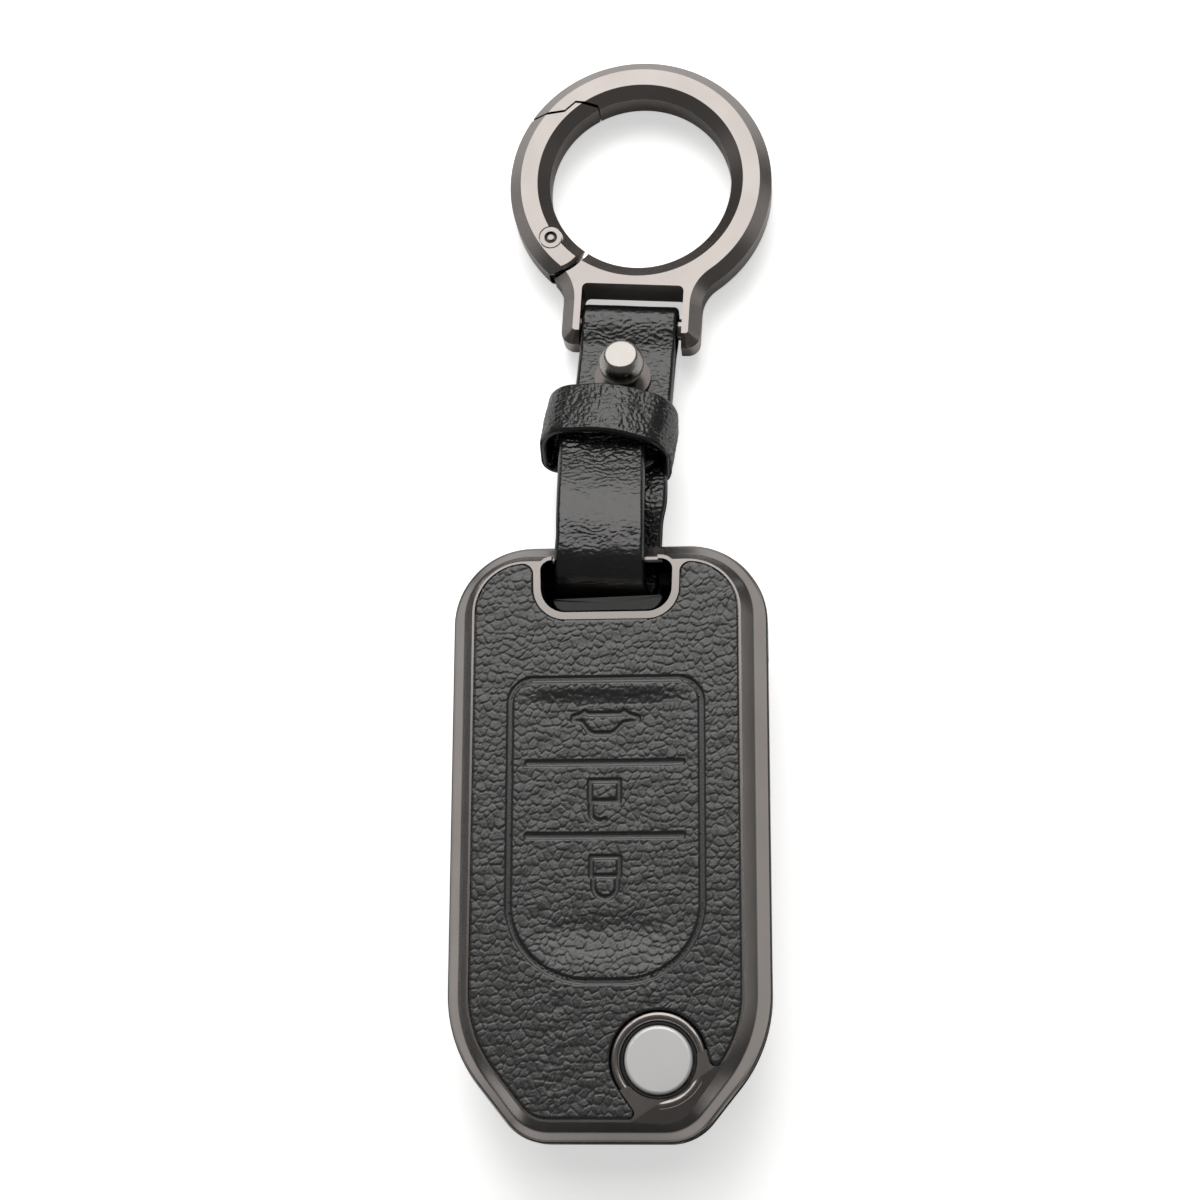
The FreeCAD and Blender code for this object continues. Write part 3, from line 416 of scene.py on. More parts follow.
def wander(x, y, size, seed):
    """Smooth noise: a sum of waves with random directions and phases, about -1 to 1."""
    random = np.random.default_rng(seed)
    total = np.zeros_like(x)
    for _ in range(7):
        angle, phase = random.uniform(0, 2 * math.pi, 2)
        length = size * random.uniform(0.6, 1.6)
        total += np.sin((x * math.cos(angle) + y * math.sin(angle)) * 2 * math.pi / length + phase)
    return total / 3.5


def pebbles(x, y, size, seed):
    """Cells round points jittered on a staggered lattice: distance to the nearest point and to the second
    nearest, and how far each place lies below its own point, all in cells."""
    random = np.random.default_rng(seed)
    count = 97
    shift = random.uniform(0.15, 0.85, (count, count, 2))
    first = np.full(x.shape, 9.0)
    second = np.full(x.shape, 9.0)
    below = np.zeros(x.shape)
    for j in range(-2, 3):
        row = np.floor(y / size).astype(int) + j
        stagger = 0.5 * (row % 2)
        for i in range(-2, 3):
            column = np.floor(x / size - stagger).astype(int) + i
            jitter = shift[column % count, row % count]
            rise = row + jitter[..., 1] - y / size
            gap = np.hypot(column + stagger + jitter[..., 0] - x / size, rise)
            second = np.minimum(second, np.maximum(first, gap))
            below = np.where(gap < first, rise, below)
            first = np.minimum(first, gap)
    return first, second, below


scale_size, wrinkle_size = 1.08, 0.5
scale_step, scale_dome, scale_tilt, wrinkle_tilt = 0.03, 0.018, 0.03, 0.01
crease_depth, wrinkle_depth, swell_height, grain_sink = 0.09, 0.02, 0.02, 0.06


def leather_relief(x, y):
    """Grain height in mm and crease share at places on a leather face: flat scales that rise a little towards
    -Y and drop there into a crease of uneven depth, under smaller wrinkles and broad swells."""
    across = x + 0.34 * wander(x, y, 5.5, 3) + 0.13 * wander(x, y, 1.9, 4)
    along = y + 0.30 * wander(x, y, 5.5, 5) + 0.13 * wander(x, y, 1.9, 6)
    first, second, below = pebbles(across, along * 1.06, scale_size, 11)
    uneven = 0.35 + 0.65 * smooth(0.55 + 0.8 * wander(x, y, 2.3, 14))
    # The crease share is weighted to each crease's lower side, away from the light above; the colour darkens
    # with it as painted shade.
    crease = (1 - smooth((second - first) / 0.18)) * uneven * np.clip(0.5 + 1.3 * below, 0.05, 1)
    small_first, small_second, small_below = pebbles(across, along * 1.3, wrinkle_size, 12)
    small_crease = (1 - smooth((small_second - small_first) / 0.3)) * np.clip(0.3 + 1.4 * small_below, 0, 1)
    height = (scale_step * uneven * smooth((second - first) / 0.26)
              + scale_dome * np.clip(1 - first * first, 0, 1)
              + scale_tilt * np.clip(below, -0.5, 0.6) + wrinkle_tilt * np.clip(small_below, -0.5, 0.5)
              - crease_depth * crease - wrinkle_depth * small_crease
              + swell_height * wander(x, y, 3.0, 8) - grain_sink)
    return height, np.clip(crease + 0.25 * small_crease, 0, 1)


field_half_width, field_top, field_bottom = 12.33, 19.35, -19.45
field_top_radius, field_round = 3.0, 10.0
dish_depth, thumb_depth, pucker_height = 0.36, 0.13, 0.16
slope_start, slope_length = 0.75, 2.4
thumb_top, thumb_length, thumb_half, thumb_fade = -10.1, 3.4, 8.8, 5.0


def field_distance(x, y):
    """Distance inside the field with the soft keys: a box with small upper and large lower rounds."""
    radius = np.where(y > 0, field_top_radius, field_round)
    edge = np.where(y > 0, field_top, -field_bottom)
    aside = abs(x) - (field_half_width - radius)
    beyond = abs(y) - (edge - radius)
    outer = np.hypot(np.maximum(aside, 0), np.maximum(beyond, 0)) + np.minimum(np.maximum(aside, beyond), 0)
    return radius - outer


padlock_body = [(-1.98, 3.46), (1.74, 3.46), (1.74, 6.09), (-1.98, 6.09), (-1.98, 3.46)]
open_shackle = [(-1.84, 3.2)] + bow((-0.72, 2.0), 1.14, 180, 305)
closed_body = [(-1.81, -6.2), (1.77, -6.2), (1.77, -3.76), (-1.81, -3.76), (-1.81, -6.2)]
closed_shackle = [(-1.5, -6.4)] + bow((0, -7.45), 1.52, 180, 360) + [(1.52, -6.4)]
car = [(-4.2, 14.5), (-3.25, 14.75), (-2.75, 15.15), (-2.3, 14.85), (1.95, 14.85), (2.4, 15.2),
       (2.95, 14.75), (4.2, 14.35), (4.2, 13.95), (2.35, 13.65), (1.25, 12.5), (0.7, 12.25), (-1.5, 12.25),
       (-2.2, 12.55), (-3.15, 13.85), (-4.25, 14.0), (-4.2, 14.5)]
symbols = (padlock_body, open_shackle, closed_body, closed_shackle, car)
divider_levels = (8.45, -1.0)
divider_half, symbol_half, channel_depth, channel_wall = 0.33, 0.23, 0.26, 0.14
dividers = [[(-10.0, level), (9.85, level)] for level in divider_levels]


def front_height(x, y):
    """Height over the flat face, in mm, and crease share: a dish with a steep upper side and a deeper hollow
    for the thumb at its lower end, flat channels with square edges, and the grain between them."""
    inner = field_distance(x, y)
    from_side = field_half_width - abs(x)
    upper = smooth((field_top - y - slope_start) / slope_length)
    thumb = smooth((thumb_top - y) / thumb_length) * smooth((thumb_half - abs(x)) / thumb_fade)
    dish = (-(dish_depth + thumb_depth * thumb) * upper * smooth((from_side - 0.3) / 6.5)
            * smooth((y - field_bottom - 0.4) / 7.0) * smooth((inner - 0.4) / 1.2))
    pinched = (upper * (1 - upper) + 0.6 * thumb * (1 - thumb)) * smooth((from_side - 0.5) / 2.0)
    dish = dish + pucker_height * pinched * wander(x * 0.75, y, 0.85, 31)
    gap = abs(inner + 0.05) - divider_half
    for stroke in dividers:
        gap = np.minimum(gap, stroke_distance(x, y, stroke) - divider_half)
    for stroke in symbols:
        gap = np.minimum(gap, stroke_distance(x, y, stroke) - symbol_half)
    channel = 1 - smooth(gap / channel_wall)
    # The channel edges add a dark line to the crease share: painted shade along the channel walls.
    edge = np.clip(1 - abs(gap - 0.06) / channel_wall, 0, 1)
    grain, crease = leather_relief(x, y)
    keep = 1 - channel
    return dish - channel_depth * channel + grain * keep, np.maximum(crease * keep, 0.55 * edge)


rim_round, rim_drop, rim_fade = 0.3, 0.18, 0.25
seam_round, seam_drop, seam_reach = 0.1, 0.006, 0.6
drawn_share = 0.7


def leather_sheet(name, edges, spacing, height_at, top, bottom, grow_at, up=1):
    """A sheet over an outline: a grid whose rim points are drawn onto the outline, lifted by a height
    function, rolled off at the rim, with an upright wall down to the glued side. Where the outline is grown
    it is a seam, with a sharper edge that keeps its height."""
    low, high = edges.min((0, 1)) - spacing - seam_reach, edges.max((0, 1)) + spacing + seam_reach
    columns, rows = np.ceil((high - low) / spacing).astype(int) + 1
    x, y = np.meshgrid(low[0] + spacing * np.arange(columns), low[1] + spacing * np.arange(rows))
    points = np.stack([x.ravel(), y.ravel()], 1)
    rim, depth = nearest(points, edges)
    growth = grow_at(points)
    outward = points - rim
    lengths = np.maximum(np.hypot(*outward.T), 1e-9)
    side = np.where(depth > 0, -1.0, 1.0)
    rim = rim + outward * (side * growth / lengths)[:, None]
    depth = depth + growth
    near = abs(depth) < drawn_share * spacing
    points = np.where(near[:, None], rim, points)
    depth = np.where(near, 0, depth)
    used = depth >= 0
    number = np.arange(columns * rows).reshape(rows, columns)
    cells = np.stack([number[:-1, :-1], number[:-1, 1:], number[1:, 1:], number[1:, :-1]], -1).reshape(-1, 4)
    inside = used[cells].sum(1)
    quads = cells[inside == 4]
    partial = cells[inside == 3]
    missing = np.argmin(used[partial], axis=1)
    turns = (missing[:, None] + np.array([1, 2, 3])) % 4
    faces = np.concatenate([quads[:, [0, 1, 2]], quads[:, [0, 2, 3]],
                            np.take_along_axis(partial, turns, 1)])
    height, crease = height_at(points[:, 0], points[:, 1])
    is_seam = growth != 0
    roll = np.clip(1 - depth / np.where(is_seam, seam_round, rim_round), 0, 1)
    height = (height * np.where(is_seam, 1, smooth(depth / rim_fade))
              - np.where(is_seam, seam_drop, rim_drop) * (1 - np.sqrt(1 - roll * roll)))
    sides = np.concatenate([faces[:, [0, 1]], faces[:, [1, 2]], faces[:, [2, 0]]])
    _, first, counts = np.unique(np.sort(sides, 1), axis=0, return_index=True, return_counts=True)
    rim_sides = sides[first[counts == 1]]
    count = len(points)
    places = np.column_stack([points, top + up * height])
    wall = np.concatenate([places[rim_sides[:, 0]], places[rim_sides[:, 1]]])
    foot = wall * (1, 1, 0) + (0, 0, bottom)
    half = len(rim_sides)
    index = count + np.arange(half)
    wall_faces = np.stack([index, index + 2 * half, index + 3 * half, index + half], 1)
    every = np.concatenate([places, wall, foot])
    if up < 0:
        faces = faces[:, ::-1]
        wall_faces = wall_faces[:, ::-1]
    # The crease attribute carries the painted crease shade to the material.
    shares = np.concatenate([crease, np.zeros(4 * half)])
    return new_piece(name, every, [faces, wall_faces], {"crease": shares})


leather_gloss = {"Specular IOR Level": 1.0, "IOR": 1.53}
leather, leather_shader, leather_place = new_material("pebbled_leather", leather_gloss)
painted_crease_shade = leather_place.node("Attribute", result="Fac", attribute_name="crease")
pores = leather_place.noise(4.5, 4.0, 0.68)
patches = leather_place.noise(0.22, 2.0)
# Pores and broad patches are the leather's own tone; the crease share darkens the colour as painted shade in
# the creases and along the groove edges.
grain_tone_and_crease_shade = painted_crease_shade * 1.2 + pores.mapped(0.35, 0.7, 0.0, 0.2) + patches.mapped(0.3, 0.7, 0.0, 0.1)
connect(leather_shader.inputs["Base Color"], grain_tone_and_crease_shade.mixed(grey(0.016), grey(0.003)))
connect(leather_shader.inputs["Roughness"], 0.22 + painted_crease_shade * 0.3 + pores * 0.08)
connect(leather_shader.inputs["Normal"], bumped(leather_place, pores, 0.35, 0.00006))

seat, face_top, front_step = 18.95, 20.35, 0.135
back_seat, back_face, back_step = 1.45, 0.12, 0.3
seam, key_overlap = 0.11, 0.06
near_side, near_top, near_bottom = 13.0, 19.9, -20.0


def panel_growth(points):
    """The panel reaches to the middle of the seam round the field and keeps its gap at the rim."""
    beside = abs(points[:, 0]) < near_side
    level = (points[:, 1] < near_top) & (points[:, 1] > near_bottom)
    return np.where(beside & level, seam, 0.0)


front_panel = leather_sheet("front_panel", outline("front_leather", seat), front_step, front_height, face_top,
                            seat, panel_growth)
front_panel.data.materials.append(leather)
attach(front_panel, "case")
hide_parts("front_leather")

line_reach = 1.2


def key_growth(middle):
    """A key reaches to the middle of the seam round the field. The seam between two keys lies at the upper
    edge of the pressed line: the upper key ends there and the lower one reaches just under it."""
    def growth(points):
        shift = np.where(points[:, 1] > middle, divider_half + key_overlap, -divider_half)
        from_line = np.min([abs(points[:, 1] - level) for level in divider_levels], 0)
        near_line = (from_line < line_reach) & (from_line < field_half_width - abs(points[:, 0]))
        return seam + np.where(near_line, shift, 0)
    return growth


for key, middle in (("trunk", 13.0), ("unlock", 3.7), ("lock", -10.0)):
    face = leather_sheet(key + "_face", outline(key + "_key_face", seat), front_step, front_height, face_top,
                         seat, key_growth(middle))
    face.data.materials.append(leather)
    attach(face, key + "_key")
    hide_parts(key + "_key_face")

back_panel = leather_sheet("back_panel", outline("back_leather", back_seat), back_step, leather_relief,
                           back_face, back_seat, lambda points: np.zeros(len(points)), -1)
back_panel.data.materials.append(leather)
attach(back_panel, "back_cover")
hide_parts("back_leather")


# Strap
# One strip of smooth black leather with painted edges: from its tongue in front round the case's bar, along
# the back, round the ring's crossbar and forward to a round end under the keeper, held there by the stud.

strap_origin = np.array([-0.22, 37.45, 13.9])
strap_side = np.array([0.9981348, -0.0610485, 0])
strap_along = np.array([0.0585958, 0.9580333, -0.2806042])
strap_up = np.array([0.0171305, 0.2800808, 0.9598236])
strap_span = 38.132
strap_thickness, layer_level = 1.5, 0.8
bight_radius, fold_radius = 5.2133, 2.4
tongue_end, rear_run, fold_start, upper_end = 23.4, 11.0, 32.632, 12.5
tongue_points = [(tongue_end, 2.4), (19.5, 3.1), (15.0, 4.1), (11.0, 4.9), (8.0, 5.35), (5.0, 5.6),
                 (2.4, 5.45), (0.0, 4.97), (-2.1, 4.35), (-3.75, 3.15), (-4.8, 1.6), (-bight_radius, 0.0)]
path_step = 0.2


def line(start, end):
    """Evenly spaced points from one place to another."""
    count = max(2, int(np.hypot(*np.subtract(end, start)) / path_step))
    return np.linspace(start, end, count)


def through(points):
    """A curve through points: each span is a cubic whose slope at a point is half the step between the
    points on either side."""
    points = np.array(points)
    slopes = np.gradient(points, axis=0)
    spans = []
    for start, end, leaving, arriving in zip(points[:-1], points[1:], slopes[:-1], slopes[1:]):
        share = np.linspace(0, 1, int(np.hypot(*(end - start)) / path_step) + 2)[1:, None]
        bend = share * share * (3 - 2 * share)
        spans.append(start + (end - start) * bend + share * (share - 1) ** 2 * leaving
                     + share * share * (share - 1) * arriving)
    return np.concatenate([points[:1]] + spans)


def arc(middle, radius, first, last):
    """Points round a middle on the strap's own line, from one angle to another in degrees."""
    count = max(8, int(radius * math.radians(abs(last - first)) / path_step))
    turn = np.radians(np.linspace(first, last, count))
    return np.column_stack([middle + radius * np.cos(turn), radius * np.sin(turn)])


def ease(start, end):
    """A gentle step between two levels, level at both ends."""
    share = np.linspace(0, 1, max(4, int(abs(end[0] - start[0]) / path_step)))
    return np.column_stack([start[0] + (end[0] - start[0]) * share,
                            start[1] + (end[1] - start[1]) * smooth(share)])


legs = {"tongue": through(tongue_points),
        "bar": arc(0, bight_radius, 180, 270),
        "rise": ease((0, -bight_radius), (rear_run, -layer_level)),
        "rear": line((rear_run, -layer_level), (fold_start, -layer_level)),
        "opening": ease((fold_start, -layer_level), (strap_span, -fold_radius)),
        "fold": arc(strap_span, fold_radius, -90, 90),
        "closing": ease((strap_span, fold_radius), (fold_start, layer_level)),
        "upper": line((fold_start, layer_level), (upper_end, layer_level))}
path = np.concatenate([leg if name == "tongue" else leg[1:] for name, leg in legs.items()])
leg_of = np.concatenate([np.full(len(leg) - (name != "tongue"), name) for name, leg in legs.items()])
ahead = np.gradient(path, axis=0)
ahead /= np.hypot(*ahead.T)[:, None]
outside = np.column_stack([-ahead[:, 1], ahead[:, 0]])
run = np.concatenate([[0], np.cumsum(np.hypot(*np.diff(path, axis=0).T))])
station = path[:, 0]


def between(value, start, rise, end, fall):
    """0 up to the start and from the end on, 1 between, with a gentle rise and fall inside them."""
    return smooth((value - start) / rise) * smooth((end - value) / fall)


full_half, tongue_left, tongue_right = 6.8, 6.7, 5.1
tongue_drift, keeper_pinch, rear_spread, end_half = 1.6, 0.35, 0.38, 0.4
drift = tongue_drift * np.maximum(station, 0) / tongue_end
front = np.isin(leg_of, ("tongue", "bar"))
bar_start = run[np.argmax((station < 0) & front)]
widening = smooth((run - bar_start) / (run[front][-1] - bar_start))
left = np.where(front, -tongue_left - drift - (full_half - tongue_left) * widening, -full_half)
right = np.where(front, tongue_right - drift + (full_half - tongue_right) * widening, full_half)
pinch = keeper_pinch * between(station, 13.0, 2.0, 24.5, 2.0)
right = right - np.where(front, 0, pinch)
spread = rear_spread * between(station, 6.6, 3.2, 17.0, 7.0)
right = right + np.where(np.isin(leg_of, ("rise", "rear")), spread, 0)
last = (leg_of == "upper") & (station < upper_end + full_half)
from_round = upper_end + full_half - station[last]
narrow = np.sqrt(np.maximum(full_half ** 2 - from_round ** 2, end_half ** 2))
left[last] = -narrow
right[last] = narrow


def strip_section(across, edge):
    """Once round the section of a flat strip: the share of its half width, and the shares of its half
    thickness by which the round edges bulge out and by which each place is lifted."""
    flat = np.linspace(-1, 1, across)
    turn = np.radians(np.linspace(90, -90, edge + 2)[1:-1])
    shares = np.concatenate([flat, np.ones(edge), flat[::-1], -np.ones(edge)])
    bulge = np.concatenate([np.zeros(across), np.cos(turn), np.zeros(across), -np.cos(turn)])
    lift = np.concatenate([np.ones(across), np.sin(turn), -np.ones(across), -np.sin(turn)])
    return shares, bulge, lift


def ribbon(name, centre, sideways, facing, left, right, thickness, relief, calm, across=66, edge=7):
    """A band along a path: the section of a flat strip between a left and a right side, closed at both ends.
    Its relief fades where it is calm."""
    half = thickness / 2
    bulge_reach = 0.8 * half
    along = np.concatenate([[0], np.cumsum(np.linalg.norm(np.diff(centre, axis=0), axis=1))])[:, None]
    shares, bulge, lift = strip_section(across, edge)
    middle = (left + right)[:, None] / 2
    reach = (right - left)[:, None] / 2 - bulge_reach
    x = middle + reach * shares + bulge_reach * bulge
    flat_side = abs(lift) > 0.99
    calm = np.clip(calm[:, None] * (1 + 0.45 * wander(x, 1.6 * along, 2.2, 27)), 0, 0.85)
    lifted = relief(x, np.broadcast_to(along, x.shape)) * np.sign(lift) * flat_side * (1 - calm)
    z = half * lift + lifted
    places = centre[:, None] + x[..., None] * sideways + z[..., None] * facing[:, None]
    rows, columns = x.shape
    number = np.arange(rows * columns).reshape(rows, columns)
    ring = np.roll(number, -1, axis=1)
    faces = np.stack([number[:-1], ring[:-1], ring[1:], number[1:]], -1).reshape(-1, 4)
    sleek = np.maximum(~flat_side, calm).ravel()
    pairs = np.arange(across - 1)
    back = 2 * across + edge - 1 - np.arange(across)
    ends = [np.stack([number[end][pairs], number[end][back[:-1]], number[end][back[1:]],
                      number[end][pairs + 1]], -1) for end in (0, -1)]
    ends = np.concatenate([ends[0][:, ::-1], ends[1]])
    return new_piece(name, places.reshape(-1, 3), [faces[:, ::-1], ends], {"sleek": sleek})


ramp_height, fold_depth, sway_height = 0.16, 0.06, 0.04


def crinkle(across, along):
    """Wrinkles of smooth leather in mm: narrow cells, wider across the strap, each a little ramp with a
    crease at one end, fading out and in along the strap."""
    slant = along + 0.55 * wander(across, along, 3.2, 21) + 0.12 * across
    bent = across * 0.55 + 0.3 * wander(across, along, 1.6, 22)
    first, second, below = pebbles(bent, slant * 1.25, 0.6, 23)
    strength = 0.45 + 0.55 * smooth(0.6 + 0.7 * wander(across * 0.3, along, 9.0, 25))
    ramp = ramp_height * np.clip(below, -0.5, 0.55) - fold_depth * (1 - smooth((second - first) / 0.35))
    return strength * ramp + sway_height * wander(across, along, 6.0, 24)


centre = strap_origin + path[:, :1] * strap_along + path[:, 1:] * strap_up
facing = outside[:, :1] * strap_along + outside[:, 1:] * strap_up
crest = between(station, 0.6, 3.0, 9.6, 4.4)
nose = smooth((-0.8 - station) / 2.0)
front_calm, fold_calm = 0.75, 0.7
calm = np.where(front, front_calm * np.maximum(crest, nose), fold_calm * (leg_of == "fold"))
strap = ribbon("strap_band", centre, strap_side, -facing, left, right, strap_thickness, crinkle, calm)

strap_leather, strap_shader, strap_place = new_material("strap_leather", {"Specular IOR Level": 1.0})
sleek = strap_place.node("Attribute", result="Fac", attribute_name="sleek")
wrinkles = strap_place.stretched(1.0, 1.7, 1.7).noise(1.7, 3.0, 0.55)
folds = strap_place.node("TexWave", {"Vector": strap_place, "Scale": 0.42, "Distortion": 16.0, "Detail": 2.5,
                                     "Detail Scale": 0.7, "Detail Roughness": 0.6}, bands_direction="Y")
folds = folds * strap_place.noise(0.8, 2.0).mapped(0.35, 0.6, 0.15, 1.0)
connect(strap_shader.inputs["Base Color"],
        wrinkles.mapped(0.35, 0.65, 0.0, 1.0).mixed(grey(0.003), grey(0.008)))
connect(strap_shader.inputs["Roughness"], 0.21 - sleek * 0.03 + wrinkles * 0.1)
crumple = (wrinkles * 0.7 + folds * 0.8) * (1.0 - sleek)
connect(strap_shader.inputs["Normal"], bumped(strap_place, crumple, 0.5, 0.00011))
strap.data.materials.append(strap_leather)
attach(strap, "strap")
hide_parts("strap")


# Keeper
# A closed loop of the same leather, bowed in front and glued at the back, that holds the tongue down on the
# other layers. It leans a little along the strap and sits a little turned on it.

keeper_place, keeper_length, keeper_shift = 18.7, 7.8, -1.35
keeper_half, keeper_floor, keeper_side, keeper_crown, keeper_thickness = 9.1, -3.35, 5.25, 2.7, 1.2
keeper_tilt, keeper_turn = 0.10, 0.085
floor_radius, shoulder_radius, crown_radius = 1.7, 3.9, 12.0
keeper_wall = keeper_thickness / 2
keeper_reach, keeper_low = keeper_half - keeper_wall, keeper_floor + keeper_wall
keeper_high = keeper_side + keeper_crown - keeper_wall
keeper_corners = [(-keeper_reach, keeper_low), (keeper_reach, keeper_low), (keeper_reach, keeper_side),
                  (0, keeper_high), (-keeper_reach, keeper_side)]
keeper_radii = [floor_radius, floor_radius, shoulder_radius, crown_radius, shoulder_radius]
keeper_steps = 259
middle_line = rounded_loop(keeper_corners, keeper_radii, keeper_steps)


def band_loop(name, loop, length, thickness, across=34, edge=7):
    """A closed loop of leather: its section, a flat strip with half-round edges, is carried round the loop,
    which is then leant and turned on the strap."""
    ahead = np.roll(loop, -1, 0) - np.roll(loop, 1, 0)
    ahead /= np.hypot(*ahead.T)[:, None]
    outward = np.column_stack([ahead[:, 1], -ahead[:, 0]])
    half = thickness / 2
    shares, bulge, lift = strip_section(across, edge)
    flat_side = abs(lift) > 0.99
    along = (length / 2 - half) * shares + half * bulge
    around = np.concatenate([[0], np.cumsum(np.hypot(*np.diff(loop, axis=0).T))])
    rows, columns = len(loop), len(along)
    wrinkle = crinkle(np.broadcast_to(along, (rows, columns)),
                      np.broadcast_to(around[:, None], (rows, columns)))
    reach = half * lift + wrinkle * np.sign(lift) * flat_side
    plane = loop[:, None] + reach[..., None] * outward[:, None]
    leant = along + keeper_tilt * plane[..., 1]
    sideways = plane[..., 0] * math.cos(keeper_turn) + leant * math.sin(keeper_turn) + keeper_shift
    forward = leant * math.cos(keeper_turn) - plane[..., 0] * math.sin(keeper_turn) + keeper_place
    places = (strap_origin + sideways[..., None] * strap_side + plane[..., 1:] * strap_up
              + forward[..., None] * strap_along)
    number = np.arange(rows * columns).reshape(rows, columns)
    next_row, next_column = np.roll(number, -1, 0), np.roll(number, -1, 1)
    corner = np.roll(next_row, -1, 1)
    faces = np.stack([number, next_row, corner, next_column], -1).reshape(-1, 4)
    sleek = np.broadcast_to(~flat_side, (rows, columns)).ravel()
    return new_piece(name, places.reshape(-1, 3), [faces], {"sleek": sleek})


keeper = band_loop("keeper_band", middle_line, keeper_length, keeper_thickness)
keeper.data.materials.append(strap_leather)
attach(keeper, "keeper")
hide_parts("keeper")


# Stud, ring and gate
# Satin metal like the frames. The ball stud is screwed through the strap's layers, and the ring's gate turns
# on a pin with a recessed head, shut by a small torsion spring of steel wire inside its end.

for name in ("stud_screw", "ring_body", "gate"):
    dress(name, gunmetal)

pin_metal, pin_shader, pin_place = new_material("pin_metal", {"Metallic": 1.0})
pin_axis = (-9.1732, 86.8305, 0)
from_axis = pin_place.node("VectorMath", {0: pin_place, 1: pin_axis}, operation="SUBTRACT")
from_axis = from_axis.stretched(1, 1, 0)
from_axis = from_axis.node("VectorMath", {0: from_axis}, result="Value", operation="LENGTH")
# A dark ring on the pin's head over its recess: painted shade in the recess.
painted_recess_shade = from_axis.mapped(0.42, 0.52, 0.0, 1.0) * from_axis.mapped(0.86, 0.96, 1.0, 0.0)
connect(pin_shader.inputs["Base Color"], painted_recess_shade.mixed(gunmetal_light, (0.03, 0.028, 0.026, 1)))
connect(pin_shader.inputs["Roughness"], 0.24 + pin_place.noise(2.0, 2.0) * 0.06)
dress("gate_pin", pin_metal)

stud_metal, stud_shader, stud_place = new_material("stud_metal", {"Metallic": 1.0})
stud_height = stud_place.node("VectorMath", {0: stud_place, 1: strap_up}, result="Value",
                              operation="DOT_PRODUCT")
stud_height = stud_height - float(strap_origin @ strap_up)
# The flange and the ball's lower side are darker than its top: painted shade under the ball.
painted_flange_shade = stud_height.mapped(2.3, 3.6, 0.0, 1.0)
connect(stud_shader.inputs["Base Color"], painted_flange_shade.mixed((0.11, 0.10, 0.095, 1), (0.42, 0.40, 0.38, 1)))
connect(stud_shader.inputs["Roughness"], 0.24 + stud_place.noise(0.6, 2.0) * 0.08)
dress("stud_ball", stud_metal)
spring_steel = metal("spring_steel", grey(0.5), grey(0.42), 0.3, 0.06)
dress("gate_spring", spring_steel)


# Floor, light and camera
# A white table in a dim room that glows a little at both sides, with a large soft box overhead towards the
# ring's end and a weaker lamp there. The table gives the camera some white of its own; to all other rays a
# band of it round the case is dark.

floor_mesh = bpy.data.meshes.new("floor")
floor_reach = 1.2
floor_corners = np.array([(-1, -1, 0), (1, -1, 0), (1, 1, 0), (-1, 1, 0)]) * floor_reach
floor_mesh.from_pydata(floor_corners.tolist(), [], [(0, 1, 2, 3)])
floor = bpy.data.objects.new("floor", floor_mesh)
bpy.context.scene.collection.objects.link(floor)
table, table_shader, table_place = new_material("table", {"Roughness": 0.9, "Specular IOR Level": 0.0,
                                                          "Emission Strength": 0.55})
ray = table_place.node("LightPath", result="Is Camera Ray")
case_half_width, case_half_length = 21.0, 39.0
beside = table_place.part("X").absolute() - case_half_width
beyond = table_place.part("Y").absolute() - case_half_length
distance = beside.at_least(beyond)
# Close round the case the table is dark to every ray but the camera's, so the metal mirrors a painted dark
# reflection there.
away = distance.mapped(10.0, 20.0, 0.0, 1.0) + distance.mapped(2.0, 5.0, 1.0, 0.0)
seen = ray.at_least(away)
connect(table_shader.inputs["Base Color"], seen.mixed(grey(0.08), (0.94, 0.94, 0.935, 1)))
connect(table_shader.inputs["Emission Color"], ray.mixed(grey(0), grey(1)))
floor_mesh.materials.append(table)

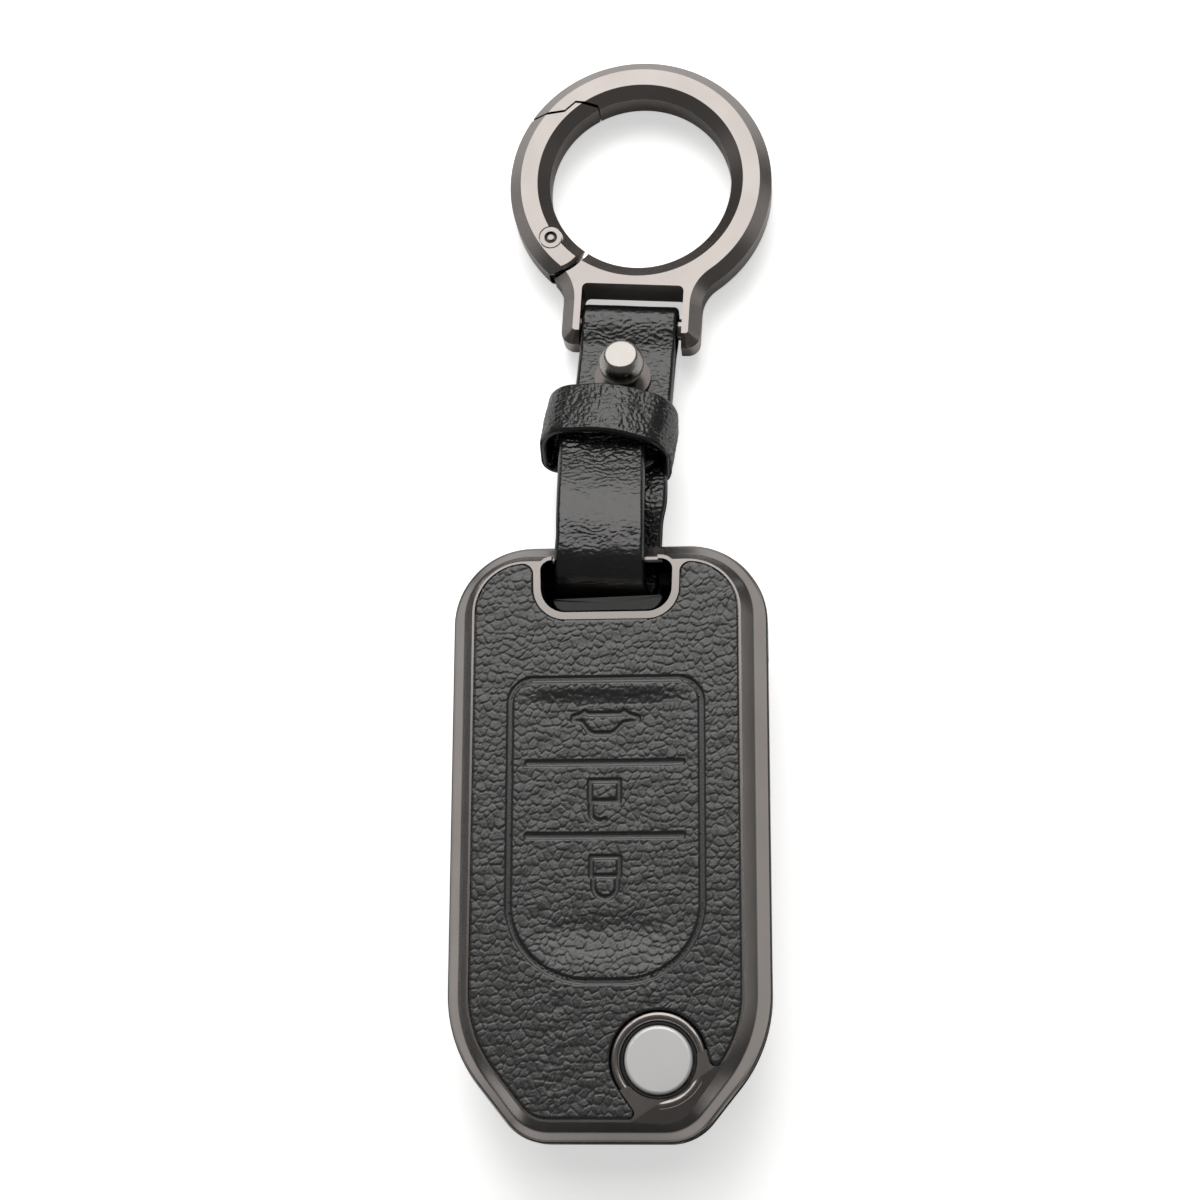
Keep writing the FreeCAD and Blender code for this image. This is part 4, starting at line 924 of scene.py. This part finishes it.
world = bpy.data.worlds.new("room")
bpy.context.scene.world = world
world.use_nodes = True
sky = world.node_tree
direction = Socket(sky, sky.nodes.new("ShaderNodeTexCoord").outputs["Generated"])
height = direction.part("Z").at_least(0.02)
lean = direction.part("Y") / height
aside = (direction.part("X") / height + 0.08).absolute()
soft_box = lean.mapped(0.17, 0.31, 0.0, 1.0) * lean.mapped(2.2, 3.2, 1.0, 0.0)
soft_box = soft_box * aside.mapped(0.5, 0.8, 1.0, 0.0)
background = sky.nodes["Background"]
side_glow = direction.part("X").absolute().mapped(0.90, 0.99, 0.0, 1.0)
room_strength, box_strength, side_strength = 0.12, 1.98, 0.4
connect(background.inputs["Strength"],
        room_strength + soft_box * box_strength + side_glow * side_strength)
background.inputs["Color"].default_value = (1.0, 0.985, 0.97, 1)

lamp_data = bpy.data.lights.new("lamp", "AREA")
lamp_data.shape = "DISK"
lamp_data.size = 0.5
lamp_data.energy = 2.5
lamp = bpy.data.objects.new("lamp", lamp_data)
lamp.location = (-0.05, 0.58, 0.45)
lamp.rotation_euler = (Vector((0, 0.03, 0)) - lamp.location).to_track_quat("-Z", "Y").to_euler()
lamp.visible_glossy = False
bpy.context.scene.collection.objects.link(lamp)

picture_pixels, focal_pixels, sensor_width = 1200, 2416.29, 36
pitch, lateral, roll = math.radians(14.205), math.radians(4.692), math.radians(0.2387)
camera_distance, target = 0.32641, Vector((-0.001620, 0.032564, 0.010))
towards = Vector((math.tan(lateral), -math.tan(pitch), 1)).normalized()
right_way = (-towards).cross(Vector((0, 1, 0))).normalized()
up_way = right_way.cross(-towards)
rolled_right = right_way * math.cos(roll) + up_way * math.sin(roll)
rolled_up = up_way * math.cos(roll) - right_way * math.sin(roll)
camera_data = bpy.data.cameras.new("camera")
camera_data.sensor_width = sensor_width
camera_data.lens = sensor_width * focal_pixels / picture_pixels
camera = bpy.data.objects.new("camera", camera_data)
bpy.context.scene.collection.objects.link(camera)
turn = Matrix((rolled_right, rolled_up, towards)).transposed().to_4x4()
camera.matrix_world = Matrix.Translation(target + towards * camera_distance) @ turn
bpy.context.scene.camera = camera
bpy.context.scene.view_settings.view_transform = "Standard"
